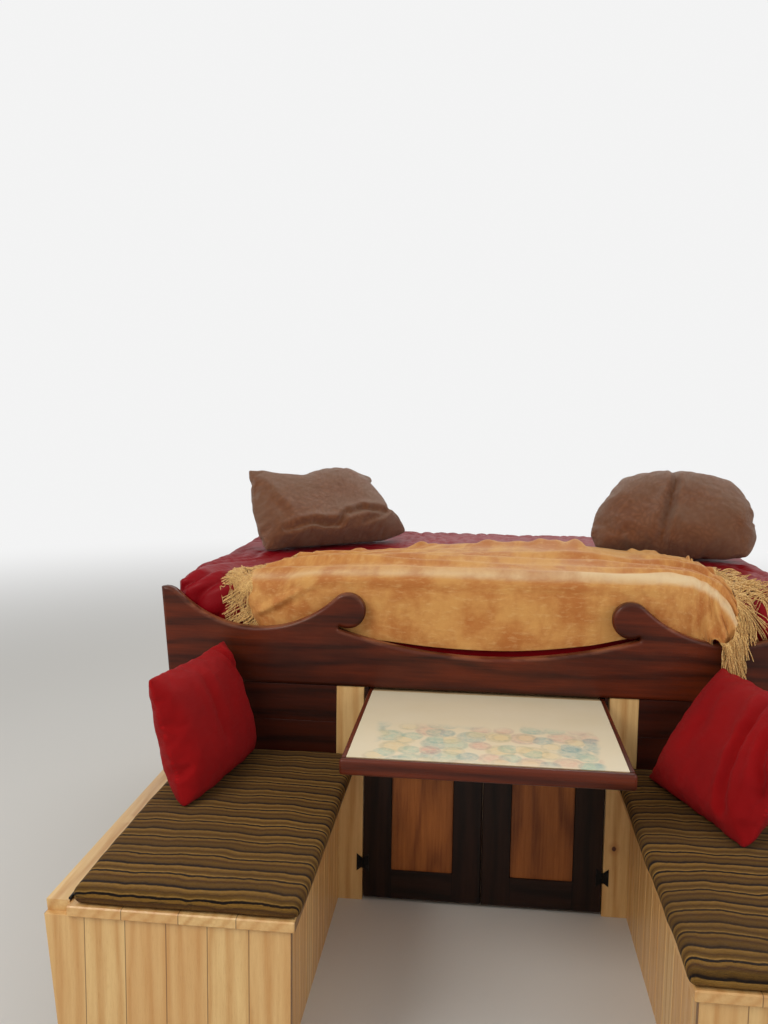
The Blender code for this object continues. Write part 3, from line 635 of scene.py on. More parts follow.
def leaf_screws(leaf):
    """Domed screw heads on a hinge leaf, near its wide edge."""
    low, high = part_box(leaf)
    outer = low.x + SCREW_FROM_EDGE
    if ("post" in leaf) == (low.x > 0):
        outer = high.x - SCREW_FROM_EDGE
    form = bmesh.new()
    for share in SCREW_SHARES:
        place = Vector((outer, high.y - LEAF_RELIEF,
                        (low.z + high.z) / 2 + share * (high.z - low.z)))
        turn = Matrix.Translation(place) @ Matrix.Rotation(pi / 2, 4, "X")
        made = bmesh.ops.create_uvsphere(form, u_segments=14, v_segments=8, radius=SCREW_RADIUS,
                                         matrix=turn)
        bmesh.ops.scale(form, verts=made["verts"], vec=(1, SCREW_RISE / SCREW_RADIUS, 1),
                        space=Matrix.Translation(-place))
    return form


for leaf in [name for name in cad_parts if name.startswith(("hinge_door", "hinge_post"))]:
    body = "base" if "post" in leaf else f"door_{leaf.rsplit('_', 1)[1]}"
    show(f"screws_{leaf}", leaf_screws(leaf), black_iron, body, "black_iron")

KNUCKLE_LENGTH = 0.030
KNUCKLE_GAP = 0.0006
KNUCKLE_ROUND = 0.0005


def continuous_hinge(side):
    """A row of short knuckles on one line."""
    low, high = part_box(f"lid_hinge_{side}")
    centre = (low + high) / 2
    radius = (high.x - low.x) / 2
    count = round((high.y - low.y) / KNUCKLE_LENGTH)
    pitch = (high.y - low.y) / count
    form = bmesh.new()
    for index in range(count):
        place = Vector((centre.x, low.y + (index + 0.5) * pitch, centre.z))
        bmesh.ops.create_cone(form, cap_ends=True, segments=14, radius1=radius, radius2=radius,
                              depth=pitch - KNUCKLE_GAP,
                              matrix=Matrix.Translation(place) @ Matrix.Rotation(pi / 2, 4, "X"))
    rims = [edge for edge in form.edges if any(len(face.verts) > 4 for face in edge.link_faces)]
    round_edges(form, rims, KNUCKLE_ROUND, 2)
    for face in form.faces:
        face.smooth = len(face.verts) <= 4
    return form


for side in ("left", "right"):
    show(f"lid_hinge_knuckles_{side}", continuous_hinge(side), black_iron, "base", "black_iron",
         [f"lid_hinge_{side}"], smooth=False)


# The pull-out table: a cream laminate top with a soft printed border, edged
# with cherry-red hardwood, its front nosing rounded and lapped over the ends.
CHERRY_PALE = srgb(108, 44, 22)
CHERRY_DARK = srgb(48, 18, 10)
cherry_along = wood("cherry_edging_along", "x", CHERRY_PALE, CHERRY_DARK, 160.0, 12.0, 0.05,
                    roughness=(0.26, 0.4), varnish=0.12, shift=(0.1, 0.6, 0.2), gloss=0.18)
cherry_lengthways = wood("cherry_edging_lengthways", "y", CHERRY_PALE, CHERRY_DARK, 160.0, 12.0,
                         0.05, roughness=(0.24, 0.38), varnish=0.25, shift=(0.5, 0.1, 0.2),
                         gloss=0.35)
finish_nodes(["table_edge", "runner"], cherry_lengthways)

PRINT_CELL = 0.092
# How far the print keeps from the sides, and how deep it reaches from the front
PRINT_SIDE = 0.070
PRINT_DEPTH = 0.30


def tints_along(tree, share, stops, blend="LINEAR"):
    """A colour from a row of tints, each with the share from which it holds."""
    ramp = node(tree, "ValToRGB", {0: share})
    ramp.color_ramp.interpolation = blend
    for index, (position, tint) in enumerate(stops):
        stop = (ramp.color_ramp.elements[index] if index < 2
                else ramp.color_ramp.elements.new(position))
        stop.position = position
        stop.color = srgb(*tint)
    return ramp.outputs[0]


def printed_laminate():
    """Cream laminate with a patch of soft overlapping rounds in pastel tints."""
    material, tree = new_material("table_surface")
    place = object_place(tree)
    low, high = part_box("table_surface")
    parts = axes(tree, place)
    stray = calc(tree, "MULTIPLY_ADD", noise_of(tree, place, 8.0, 2.0), 0.10, -0.05)
    from_front = calc(tree, "ADD", calc(tree, "SUBTRACT", parts["Y"], low.y), stray)
    from_side = calc(tree, "SUBTRACT", high.x, calc(tree, "ABSOLUTE", parts["X"]))
    from_side = calc(tree, "ADD", from_side, stray)
    patch = calc(tree, "MULTIPLY", between(tree, from_front, PRINT_DEPTH, PRINT_DEPTH * 0.7),
                 between(tree, from_side, PRINT_SIDE * 0.6, PRINT_SIDE))
    patch = calc(tree, "MULTIPLY", patch, between(tree, from_front, -0.02, 0.02))
    flat = scaled(tree, place, (1, 1, 0))
    fine = noise_of(tree, flat, 60.0, 4.0, 0.7)
    mottle = noise_of(tree, place, 7.0)
    colour = mixed(tree, mottle, srgb(240, 230, 204), srgb(232, 218, 184))
    for shift, size, tints in (
            ((0.013, 0.021, 0), 1.0, ((0.0, (150, 196, 178)), (0.34, (222, 168, 150)),
                                      (0.58, (226, 202, 142)), (0.8, (126, 178, 176)))),
            ((0.051, 0.038, 0), 0.72, ((0.0, (120, 172, 176)), (0.3, (232, 212, 160)),
                                       (0.62, (214, 150, 140)), (0.82, (160, 200, 180))))):
        moved = vector_calc(tree, "ADD", flat, shift)
        cells = node(tree, "TexVoronoi", {"Vector": moved, "Scale": 1 / (PRINT_CELL * size),
                                          "Randomness": 0.8}, voronoi_dimensions="2D")
        radius = calc(tree, "MULTIPLY_ADD", fine, 0.20, cells.outputs["Distance"])
        disc = between(tree, radius, 0.62, 0.50)
        rim = calc(tree, "MULTIPLY", between(tree, radius, 0.36, 0.46), disc)
        chance = node(tree, "SeparateColor", {0: cells.outputs["Color"]}).outputs[0]
        tint = mixed(tree, calc(tree, "MULTIPLY", rim, 0.35),
                     tints_along(tree, chance, tints, "CONSTANT"), srgb(70, 128, 134))
        share = calc(tree, "MULTIPLY", calc(tree, "MULTIPLY", disc, patch),
                     between(tree, fine, 0.3, 0.7, 0.2, 0.6))
        colour = mixed(tree, share, colour, tint)
    scuffs = fibres(tree, place, (30, 90, 30))
    return finished(material, {
        "Base Color": colour,
        "Roughness": between(tree, scuffs, 0.35, 0.7, 0.28, 0.32),
        "Coat Weight": 0.12, "Coat Roughness": 0.2,
        "Normal": bump(tree, mottle, 0.0002)})


finish_nodes(["table_surface"], printed_laminate())

NOSING_ROUND = 0.009
show("table_nosing", rounded_bar(*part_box("table_edge_front"), NOSING_ROUND, 5), cherry_along,
     "table", "cherry_edging", ["table_edge_front"])


# The benches: an aisle panel of upright matchboard and an end panel under a
# pine lid. The boards differ a little in tone, with a dark line in each joint.
def boards_group():
    """Splits a face into boards side by side along Y: each has its own stretch
    of grain and its own tone."""
    group, given = shader_group("boards",
                                {"Vector": "Vector", "Width": "Float", "Start": "Float"},
                                {"Vector": "Vector", "Tone": "Float", "Joint": "Float"})
    parts = axes(group, given["Vector"])
    count = calc(group, "DIVIDE", calc(group, "SUBTRACT", parts["Y"], given["Start"]),
                 given["Width"])
    index = calc(group, "FLOOR", count)
    tone = node(group, "TexWhiteNoise", {"W": index}, noise_dimensions="1D").outputs["Value"]
    jump = scaled(group, tone, (9.0, 3.0, 5.0))
    vector = vector_calc(group, "ADD", given["Vector"], jump)
    near = calc(group, "MULTIPLY", calc(group, "PINGPONG", count, 0.5), given["Width"])
    return finish_group(group, {"Vector": vector, "Tone": tone, "Joint": near})


BOARDS = boards_group()


def boarded_pine(name, grain, width, start):
    """Pine boards side by side, across the grain."""
    spread = {}

    def split(tree, vector):
        spread.update(node(tree, "Group", {"Vector": vector, "Width": width, "Start": start},
                           node_tree=BOARDS).outputs.items())
        return spread["Vector"]

    def tone(tree, colour, vector):
        shade = between(tree, spread["Tone"], 0.0, 1.0, 0.0, 0.45)
        colour = mixed(tree, shade, colour, srgb(206, 150, 88))
        line = between(tree, spread["Joint"], 0.0016, 0.0004)
        return mixed(tree, calc(tree, "MULTIPLY", line, 0.8), colour, srgb(92, 58, 30))

    return pine(name, grain, roughness=(0.34, 0.5), varnish=0.15, vector_change=split,
                colour_change=tone)


MATCHBOARD_WIDTH = 0.095
LID_BOARD_WIDTH = 0.135
for side in ("left", "right"):
    for panel, name, grain, axis in (("aisle_panel", "matchboard", "z", 1),
                                     ("end_panel", "end_boards", "z by x", 0)):
        low, high = (corner[axis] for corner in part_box(f"{panel}_{side}"))
        width = (high - low) / round((high - low) / MATCHBOARD_WIDTH)
        finish_nodes([f"{panel}_{side}"], boarded_pine(f"{name}_{side}", grain, width, low))
    edge = -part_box(f"lid_{side}")[1].x
    finish_nodes([f"lid_{side}"], boarded_pine(f"lid_boards_{side}", "y", LID_BOARD_WIDTH, edge))


# The mattress: a sprung block in striped cotton ticking, with a corded seam
# round its top and bottom edges. Its sides swell a little between the cords.
def rounded_block(low, high, radius, segments, cuts):
    """A box with round edges, cut into a fine grid so that it can be shaped."""
    form = rounded_bar(low, high, radius, segments)
    for axis in range(3):
        size = high[axis] - low[axis]
        steps = max(1, round(size / cuts))
        for index in range(1, steps):
            plane = Vector((0, 0, 0))
            plane[axis] = low[axis] + size * index / steps
            along = Vector((0, 0, 0))
            along[axis] = 1
            bmesh.ops.bisect_plane(form, geom=[*form.verts, *form.edges, *form.faces],
                                   plane_co=plane, plane_no=along)
    return form


def ripple(x, y, z=0.0, octaves=3):
    """Smooth noise of several octaves, from about -1 to 1."""
    return noise.fractal((x, y, z), 0.9, 2.1, octaves)


TICKING_SWELL = 0.010
TICKING_CUT = 0.05
MATTRESS_ROUND = 0.028
CORD_RADIUS = 0.0045
CORD_FROM_FACE = 0.020


def ticking_finish():
    """Cream cotton twill with groups of narrow blue-grey stripes across the bed,
    and upright ones on all four sides."""
    material, tree = new_material("mattress_ticking")
    place = object_place(tree)
    parts = axes(tree, place)
    facing = axes(tree, node(tree, "NewGeometry").outputs["Normal"])
    on_end = calc(tree, "GREATER_THAN", calc(tree, "ABSOLUTE", facing["X"]), 0.7)
    x = node(tree, "Mix", {0: on_end, 2: parts["X"], 3: parts["Y"]}).outputs[0]
    band = calc(tree, "PINGPONG", x, 0.02)
    stripe = calc(tree, "MAXIMUM", between(tree, band, 0.0030, 0.0024),
                  calc(tree, "MULTIPLY", between(tree, band, 0.0052, 0.0056),
                       between(tree, band, 0.0068, 0.0064)))
    twill = wave(tree, calc(tree, "ADD", x, parts["Z"]), 5200.0)
    fade = noise_of(tree, place, 6.0)
    cotton = mixed(tree, fade, srgb(236, 228, 208), srgb(222, 212, 190))
    return finished(material, {
        "Base Color": mixed(tree, stripe, cotton, srgb(104, 118, 138)),
        "Roughness": 0.86, "Sheen Weight": 0.2,
        "Normal": bump(tree, twill, 0.0002)})


ticking = ticking_finish()
low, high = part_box("mattress")
middle = (low + high) / 2
inset = Vector((TICKING_SWELL, TICKING_SWELL, 0.002))
form = rounded_block(low + inset, high - inset, MATTRESS_ROUND, 4, TICKING_CUT)
for vertex in form.verts:
    offset = vertex.co - middle
    level = 1 - (2 * offset.z / (high.z - low.z)) ** 2
    swell = TICKING_SWELL * max(0.0, level)
    for axis in (0, 1):
        if abs(offset[axis]) / ((high - low)[axis] / 2) > 0.93:
            vertex.co[axis] += copysign(swell, offset[axis]) * (
                0.75 + 0.25 * ripple(3 * vertex.co.x, 3 * vertex.co.y))
mattress = show("ticking_mattress", form, ticking, "base", "mattress_ticking", ["mattress"])


def as_form(piece):
    """A piece's shape with all that acts on it, as a bmesh in the piece's place."""
    mesh = bpy.data.meshes.new_from_object(piece.evaluated_get(
        bpy.context.evaluated_depsgraph_get()))
    bpy.data.objects.remove(piece)
    form = bmesh.new()
    form.from_mesh(mesh)
    bpy.data.meshes.remove(mesh)
    return form


def cords(paths, radius, roundness, closed):
    """Round cords along paths of points. An open cord's ends are capped."""
    curve = bpy.data.curves.new("cords", "CURVE")
    curve.dimensions = "3D"
    curve.bevel_depth = radius
    curve.bevel_resolution = roundness
    curve.use_fill_caps = not closed
    for path in paths:
        line = curve.splines.new("POLY")
        line.points.add(len(path) - 1)
        for point, place in zip(line.points, path):
            point.co = (*place, 1)
        line.use_cyclic_u = closed
    return as_form(link("cords", curve))


def rounded_rectangle(low, high, radius, height, steps=6):
    """Points round a rectangle with round corners, all at one height."""
    points = []
    for turn, (x, y) in enumerate(((high.x - radius, high.y - radius),
                                   (low.x + radius, high.y - radius),
                                   (low.x + radius, low.y + radius),
                                   (high.x - radius, low.y + radius))):
        for step in range(steps + 1):
            angle = (turn + step / steps) * pi / 2
            points.append((x + radius * cos(angle), y + radius * sin(angle), height))
    return points


for name, height in (("top", high.z - CORD_FROM_FACE), ("bottom", low.z + CORD_FROM_FACE)):
    path = rounded_rectangle(low + inset, high - inset, MATTRESS_ROUND, height)
    show(f"mattress_cord_{name}", cords([path], CORD_RADIUS, 2, True), ticking, "base",
         "mattress_ticking")


# The coverlet: a thick satin quilt that lies over the whole mattress and is
# tucked down behind the front board. It ruckles at its free ends.
def run_through(points, share):
    """A point on a smooth run through the given points, from 0 to 1."""
    last = len(points) - 1
    place = min(max(share, 0.0), 1.0) * last
    index = min(int(place), last - 1)
    part = place - index
    before, first, second, after = (points[min(max(index + step, 0), last)]
                                    for step in (-1, 0, 1, 2))
    return 0.5 * ((2 * first) + (second - before) * part
                  + (2 * before - 5 * first + 4 * second - after) * part ** 2
                  + (3 * first - before - 3 * second + after) * part ** 3)


def ridge(value):
    """A row of rounded ridges with narrow valleys, from 0 to 1."""
    return abs(sin(pi * value)) ** 0.8


def ease(value, low, high):
    """0 below low, 1 above high, and smooth between them."""
    share = min(max((value - low) / (high - low), 0.0), 1.0)
    return share * share * (3 - 2 * share)


def satin_finish():
    """Deep red satin: a smooth, tight weave with a strong soft sheen."""
    material, tree = new_material("red_satin")
    place = object_place(tree)
    slub = fibres(tree, place, (30, 420, 420))
    shade = noise_of(tree, place, 5.0)
    colour = mixed(tree, shade, srgb(148, 6, 20), srgb(104, 3, 12))
    wrinkles = fibres(tree, place, (9, 26, 12), 2.0)
    height = calc(tree, "MULTIPLY_ADD", slub, 0.02, wrinkles)
    return finished(material, {
        "Base Color": colour,
        "Roughness": between(tree, slub, 0.3, 0.7, 0.40, 0.52),
        "Anisotropic": 0.3, "Specular IOR Level": 0.15, "Sheen Weight": 0.02,
        "Sheen Roughness": 0.3, "Sheen Tint": srgb(255, 120, 140),
        "Normal": bump(tree, height, 0.006)})


satin = satin_finish()
quilt_low, quilt_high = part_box("coverlet")
mattress_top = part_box("mattress")[1].z
mattress_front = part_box("mattress")[0].y
QUILT_COLUMNS = 260
QUILT_ROWS = 236
QUILT_END_ROLL = 0.040
QUILT_DROP_THICKNESS = 0.016
# Room left for the ruckles under the quilt's highest point
QUILT_CREST = 0.012
# Where the two pillows press it flat: each place's middle and its reach
PRESSED = ((-0.670, 0.725, 0.330, 0.270), (0.720, 0.640, 0.345, 0.180))
PRESSED_LIFT = 0.006


def quilt_ruckle(x, y, z):
    """How far the quilt stands up from its flat lie at a place."""
    ends = ease(abs(x), 0.62, 0.95)
    front = 1 - ease(y, -0.02, 0.45)
    rear = ease(y, 0.62, 0.80)
    broad = 0.5 + 0.5 * ripple(3.1 * x, 4.2 * y + 7, 5 * z, 2)
    slant = 14.0 * abs(x) + 7.0 * y + 4.0 * z + 1.5 * ripple(2.2 * x, 3 * y, 2 * z)
    folds = ridge(slant) * (0.004 + 0.020 * ends * (0.3 + 0.7 * front))
    puckers = ridge(13.0 * x + 1.6 * ripple(5 * x, 8 * y)) * 0.007 * rear
    free = min(ease(hypot((x - mid_x) / reach_x, (y - mid_y) / reach_y), 0.82, 1.15)
               for mid_x, mid_y, reach_x, reach_y in PRESSED)
    return (0.006 * broad + folds + puckers) * free + PRESSED_LIFT * (1 - free)


def quilt_form():
    """A closed loop round the quilt's section, carried along its length."""
    form = bmesh.new()
    cut = form.verts.layers.float_vector.new("cut")
    bmesh.ops.create_grid(form, x_segments=QUILT_COLUMNS, y_segments=QUILT_ROWS, size=0.5)
    top = quilt_high.z - QUILT_CREST
    outer = [Vector(point) for point in (
        (quilt_low.y + 0.004, quilt_low.z + 0.004), (quilt_low.y, 0.86), (quilt_low.y, 0.93),
        (quilt_low.y, 0.99), (quilt_low.y + 0.008, 1.028), (quilt_low.y + 0.036, top - 0.003),
        (0.02, top), (0.25, top), (0.55, top), (0.85, top), (1.10, top),
        (quilt_high.y - 0.035, top - 0.004), (quilt_high.y - 0.010, top - 0.020))]
    under = mattress_top + 0.0008
    fronts = quilt_low.y + QUILT_DROP_THICKNESS
    inner = [Vector(point) for point in (
        (quilt_high.y - 0.004, under + 0.012), (quilt_high.y - 0.020, under), (1.10, under),
        (0.80, under), (0.50, under), (0.20, under), (0.00, under), (mattress_front, under),
        (fronts, 0.985), (fronts, 0.93), (fronts, 0.86), (fronts - 0.004, quilt_low.z + 0.004))]
    loop = outer + inner + [outer[0]]
    for vertex in form.verts:
        along, share = vertex.co.x + 0.5, vertex.co.y + 0.5
        y, z = run_through(loop, share)
        x = quilt_low.x + along * (quilt_high.x - quilt_low.x)
        on_outer = share < len(outer) / len(loop)
        from_end = min(along, 1 - along) * (quilt_high.x - quilt_low.x)
        roll = sqrt(max(0.0, 1 - (1 - min(from_end / QUILT_END_ROLL, 1.0)) ** 2))
        if y > mattress_front:
            core = Vector((y, (under + top) / 2))
        else:
            core = Vector((quilt_low.y + QUILT_DROP_THICKNESS / 2, z))
        place = core + (Vector((y, z)) - core) * max(roll, 0.03)
        lift = roll * quilt_ruckle(x, place.x, place.y) if on_outer else 0.0
        front = 1 - ease(place.x, quilt_low.y + 0.005, quilt_low.y + 0.05)
        if place.x < 0.05 and z < 1.03:
            # Behind the board the quilt has only a narrow gap to fill
            lift *= 0.25 + 0.75 * ease(z, 0.915, 0.945)
        vertex.co = (x, place.x - lift * front * 0.8, place.y + lift * (1 - front * 0.6)
                     if z > 0.99 or place.x > 0 else place.y)
        vertex[cut] = (x, share * 3.2, 0)
    bmesh.ops.remove_doubles(form, verts=form.verts, dist=1e-5)
    bmesh.ops.holes_fill(form, edges=[edge for edge in form.edges if edge.is_boundary], sides=0)
    bmesh.ops.recalc_face_normals(form, faces=form.faces)
    return form


quilt = show("satin_quilt", quilt_form(), satin, "base", "red_satin", ["coverlet"])


# The throw: one sheet of gold velvet with a corded fringe on its two short
# ends. It lies loosely over the quilt, hangs down inside the board, and at the
# right its gathered end spills over the board's dip.
def cut_place(tree):
    """Where a point lies on its cloth as it was cut, laid out flat."""
    return node(tree, "Attribute", attribute_name="cut").outputs["Vector"]


def velvet_finish():
    """Gold velvet: soft pile with a sheen, and a painted highlight: a pale band along its crest.
    """
    material, tree = new_material("gold_velvet")
    cut = cut_place(tree)
    brushed = fibres(tree, cut, (9.0, 3.6, 1.0), 5.0, 0.62)
    streaks = fibres(tree, cut, (26.0, 4.0, 1.0), 4.0, 0.6)
    patchy = noise_of(tree, cut, 42.0, 4.0, 0.6)
    pile = noise_of(tree, cut, 900.0, 2.0)
    colour = mixed(tree, between(tree, brushed, 0.36, 0.62), srgb(184, 114, 54),
                   srgb(212, 156, 88))
    colour = mixed(tree, between(tree, streaks, 0.45, 0.7, 0.0, 0.45), colour,
                   srgb(184, 112, 52))
    colour = mixed(tree, between(tree, patchy, 0.5, 0.72, 0.0, 0.35), colour, srgb(228, 186, 124))
    # Painted highlight: a pale band along the crest, where the sheet bends over the bed's front
    # edge, stronger to the right
    parts = axes(tree, cut)
    from_bend = calc(tree, "ABSOLUTE", calc(tree, "SUBTRACT", parts["Y"], THROW_BEND))
    from_bend = calc(tree, "MULTIPLY_ADD", patchy, 0.03, from_bend)
    pale_edge_and_highlight = calc(tree, "MULTIPLY", between(tree, from_bend, 0.070, 0.012),
                  between(tree, parts["X"], 0.2, 1.2, 0.3, 0.75))
    pale_edge_and_highlight = calc(tree, "MULTIPLY", pale_edge_and_highlight, between(tree, brushed, 0.3, 0.6, 0.45, 1.0))
    colour = mixed(tree, pale_edge_and_highlight, colour, srgb(242, 222, 182))
    return finished(material, {
        "Base Color": colour,
        "Roughness": between(tree, brushed, 0.3, 0.7, 0.62, 0.8),
        "Specular IOR Level": 0.3,
        "Sheen Weight": 0.5, "Sheen Roughness": 0.35, "Sheen Tint": srgb(255, 226, 176),
        "Normal": bump(tree, calc(tree, "MULTIPLY_ADD", patchy, 3.0, pile), 0.0005)})


# Cut size, and how far up from the hem the sheet bends over the bed's edge
THROW_FLAT = (1.60, 1.05)
THROW_BEND = 0.452
velvet = velvet_finish()
# Each column runs from the front hem up over the crest and back to the rear
# edge. The first and the last column are the fringed ends.
THROW_COLUMNS = (
    ((-.745, -.122, .905), (-.772, -.121, .955), (-.786, -.116, 1.005), (-.784, -.086, 1.055),
     (-.732, .020, 1.076), (-.660, .120, 1.080), (-.580, .230, 1.082), (-.495, .340, 1.080)),
    ((-.680, -.123, .890), (-.692, -.122, .950), (-.692, -.118, 1.012), (-.668, -.092, 1.066),
     (-.612, .030, 1.084), (-.540, .150, 1.084), (-.455, .275, 1.082), (-.365, .400, 1.080)),
    ((-.560, -.123, .885), (-.562, -.122, .955), (-.560, -.120, 1.030), (-.540, -.098, 1.080),
     (-.500, .050, 1.088), (-.435, .200, 1.084), (-.350, .350, 1.084), (-.250, .500, 1.080)),
    ((-.360, -.123, .875), (-.360, -.123, .945), (-.360, -.121, 1.035), (-.350, -.098, 1.088),
     (-.330, .060, 1.090), (-.280, .230, 1.084), (-.215, .410, 1.086), (-.140, .575, 1.080)),
    ((-.150, -.123, .858), (-.150, -.123, .940), (-.150, -.121, 1.035), (-.148, -.098, 1.089),
     (-.140, .065, 1.090), (-.110, .250, 1.084), (-.060, .440, 1.086), (-.010, .610, 1.082)),
    ((.090, -.123, .856), (.090, -.123, .940), (.090, -.121, 1.035), (.092, -.098, 1.088),
     (.100, .065, 1.090), (.115, .260, 1.084), (.140, .470, 1.088), (.160, .660, 1.084)),
    ((.300, -.123, .880), (.302, -.123, .950), (.305, -.121, 1.038), (.310, -.098, 1.088),
     (.320, .060, 1.090), (.330, .250, 1.086), (.350, .440, 1.088), (.370, .610, 1.084)),
    ((.480, -.124, .915), (.482, -.123, .965), (.485, -.121, 1.040), (.490, -.098, 1.090),
     (.500, .040, 1.092), (.505, .190, 1.088), (.510, .330, 1.090), (.520, .480, 1.086)),
    ((.600, -.124, .893), (.602, -.124, .965), (.606, -.122, 1.035), (.610, -.098, 1.088),
     (.615, .020, 1.094), (.615, .150, 1.090), (.620, .280, 1.092), (.635, .410, 1.088)),
    ((.664, -.126, .896), (.668, -.124, .955), (.674, -.121, 1.015), (.682, -.104, 1.066),
     (.690, -.040, 1.086), (.690, .060, 1.090), (.690, .190, 1.090), (.705, .340, 1.088)),
    ((.702, -.167, .926), (.708, -.161, .950), (.716, -.146, .985), (.722, -.125, 1.030),
     (.724, -.070, 1.072), (.714, .030, 1.085), (.710, .160, 1.086), (.720, .310, 1.085)),
    ((.712, -.186, .914), (.728, -.189, .914), (.744, -.184, .926), (.760, -.160, .962),
     (.770, -.126, 1.016), (.762, -.045, 1.068), (.744, .090, 1.083), (.743, .280, 1.083)))
THROW_STEPS = (240, 180)
THROW_SPILL_X = 0.64
THROW_SPILL_EASING = 6
THROW_THICKNESS = 0.0022
# How far cloth and cords keep from the board, and the height rays are cast from
CLOTH_GAP = 0.003
CAST_FROM = 2.0
# Cloth this near over the board's top edge sinks onto it
THROW_REST_REACH = 0.018
THROW_REST_GAP = 0.0012
BOARD_MIDDLE = (BOARD_LOW.y + BOARD_HIGH.y) / 2
# The right bench's lid, lifted, passes in front of the board with its end here,
# and reaches this far in
LID_END_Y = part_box("lid_right")[1].y
LID_REACH_X = 0.738
LID_REACH_Z = 1.02
THROW_CLEARANCE = THROW_THICKNESS + 0.0005
# Long folds from end to end: their place between hem and rear edge at the
# left, the middle and the right, their width, and their height
THROW_FOLDS = ((0.468, 0.456, 0.456, 0.024, 0.012), (0.545, 0.560, 0.525, 0.021, 0.020),
               (0.625, 0.660, 0.600, 0.026, 0.016), (0.720, 0.770, 0.680, 0.024, 0.022),
               (0.800, 0.860, 0.765, 0.028, 0.018), (0.885, 0.940, 0.860, 0.022, 0.018))


def throw_fold(along, back):
    """How far the throw stands off its lie: long folds that run to both ends,
    a smooth front with a slanting fold at the left, and a rumpled rear edge."""
    left = 1 - ease(along, 0.02, 0.30)
    right = ease(along, 0.66, 0.96)
    drop = 1 - ease(back, 0.40, 0.50)
    lift = 0.0
    for index, (at_left, at_middle, at_right, width, height) in enumerate(THROW_FOLDS):
        line = run_through((at_left, at_middle, at_right), along)
        line += 0.034 * ripple(2.4 * along, 3.7 * index) + 0.008 * ripple(8 * along, 2.3 * index)
        swell = max(0.1, 0.75 + 1.1 * ripple(2.6 * along, 5.1 * index, 4))
        lift += height * swell * (1 + 0.4 * (left + right)) * exp(-((back - line) / width) ** 2)
    lift += (1 - drop) * (0.004 * (1 + ripple(9 * along, 10 * back, 5)) + 0.002)
    hang = sin(pi * (6.5 * along + (0.5 + 4.0 * back) * right + 0.3 * back
                     + 0.35 * ripple(2.6 * along, 3 * back))) ** 2
    lift += drop * (0.0035 + 0.006 * left + 0.013 * right) * hang
    slanting = exp(-((back - 0.10 - 1.25 * along) / 0.035) ** 2)
    lift += 0.014 * slanting * drop * ease(along, 0.0, 0.05) * (1 - ease(along, 0.10, 0.20))
    rear = ease(back, 0.86, 0.99)
    peaks = max(0.0, ripple(11.0 * along, 2.0 * back, 9)) ** 1.3
    return lift + rear * (0.008 + 0.060 * peaks)


def throw_form():
    """The sheet, laid along its columns and then folded."""
    form = bmesh.new()
    bmesh.ops.create_grid(form, x_segments=THROW_STEPS[0], y_segments=THROW_STEPS[1], size=0.5)
    cut = form.verts.layers.float_vector.new("cut")
    columns = [[Vector(point) for point in column] for column in THROW_COLUMNS]
    rows = {}
    for vertex in form.verts:
        along, back = vertex.co.x + 0.5, vertex.co.y + 0.5
        key = round(back * THROW_STEPS[1])
        if key not in rows:
            rows[key] = [run_through(column, back) for column in columns]
        vertex[cut] = (along * THROW_FLAT[0], back * THROW_FLAT[1], 0)
        vertex.co = run_through(rows[key], along)
    bmesh.ops.recalc_face_normals(form, faces=form.faces)
    form.normal_update()
    if sum(vertex.normal.z for vertex in form.verts) < 0:
        bmesh.ops.reverse_faces(form, faces=form.faces)
        form.normal_update()
    lifted = {vertex: throw_fold(vertex[cut].x / THROW_FLAT[0], vertex[cut].y / THROW_FLAT[1])
              for vertex in form.verts}
    for vertex, lift in lifted.items():
        vertex.co += vertex.normal * lift
        # At the right the sheet passes over the board's dip, and lies on it
        if vertex.co.x > THROW_SPILL_X and vertex.co.y < BOARD_HIGH.y + 0.003:
            top = board.ray_cast((vertex.co.x, BOARD_MIDDLE, CAST_FROM), (0, 0, -1))[1]
            if vertex.co.y < BOARD_MIDDLE and vertex.co.z < top.z:
                vertex.co.y = min(vertex.co.y, BOARD_LOW.y - CLOTH_GAP)
            else:
                vertex.co.z = max(vertex.co.z, top.z + CLOTH_GAP)
    spill = [vertex for vertex in form.verts
             if vertex.co.x > THROW_SPILL_X and vertex.co.y < BOARD_HIGH.y + 0.02]
    for _ in range(THROW_SPILL_EASING):
        bmesh.ops.smooth_vert(form, verts=spill, factor=0.5, use_axis_x=True, use_axis_y=True,
                              use_axis_z=True)
    for vertex in spill:
        if BOARD_LOW.y < vertex.co.y < BOARD_HIGH.y:
            hit, top, _, _ = board.ray_cast((*vertex.co.xy, CAST_FROM), (0, 0, -1))
            if hit and vertex.co.z < top.z + THROW_REST_REACH:
                vertex.co.z = top.z + THROW_REST_GAP
        if vertex.co.z < LID_REACH_Z:
            before = max(0.0, LID_REACH_X - vertex.co.x)
            vertex.co.y = max(vertex.co.y, LID_END_Y + THROW_CLEARANCE - before)
    return form


throw = show("velvet_throw", throw_form(), velvet, "base", "gold_velvet", ["throw"])
solid = throw.modifiers.new("thickness", "SOLIDIFY")
solid.thickness = THROW_THICKNESS
solid.offset = 1.0

FRINGE_RADIUS = 0.0014
FRINGE_POINTS = 10
# Below this the tassels hang in front of the board
BOARD_CLEAR_Z = 0.94
# The tassels at the right all fall towards this line
TASSEL_X = 0.772


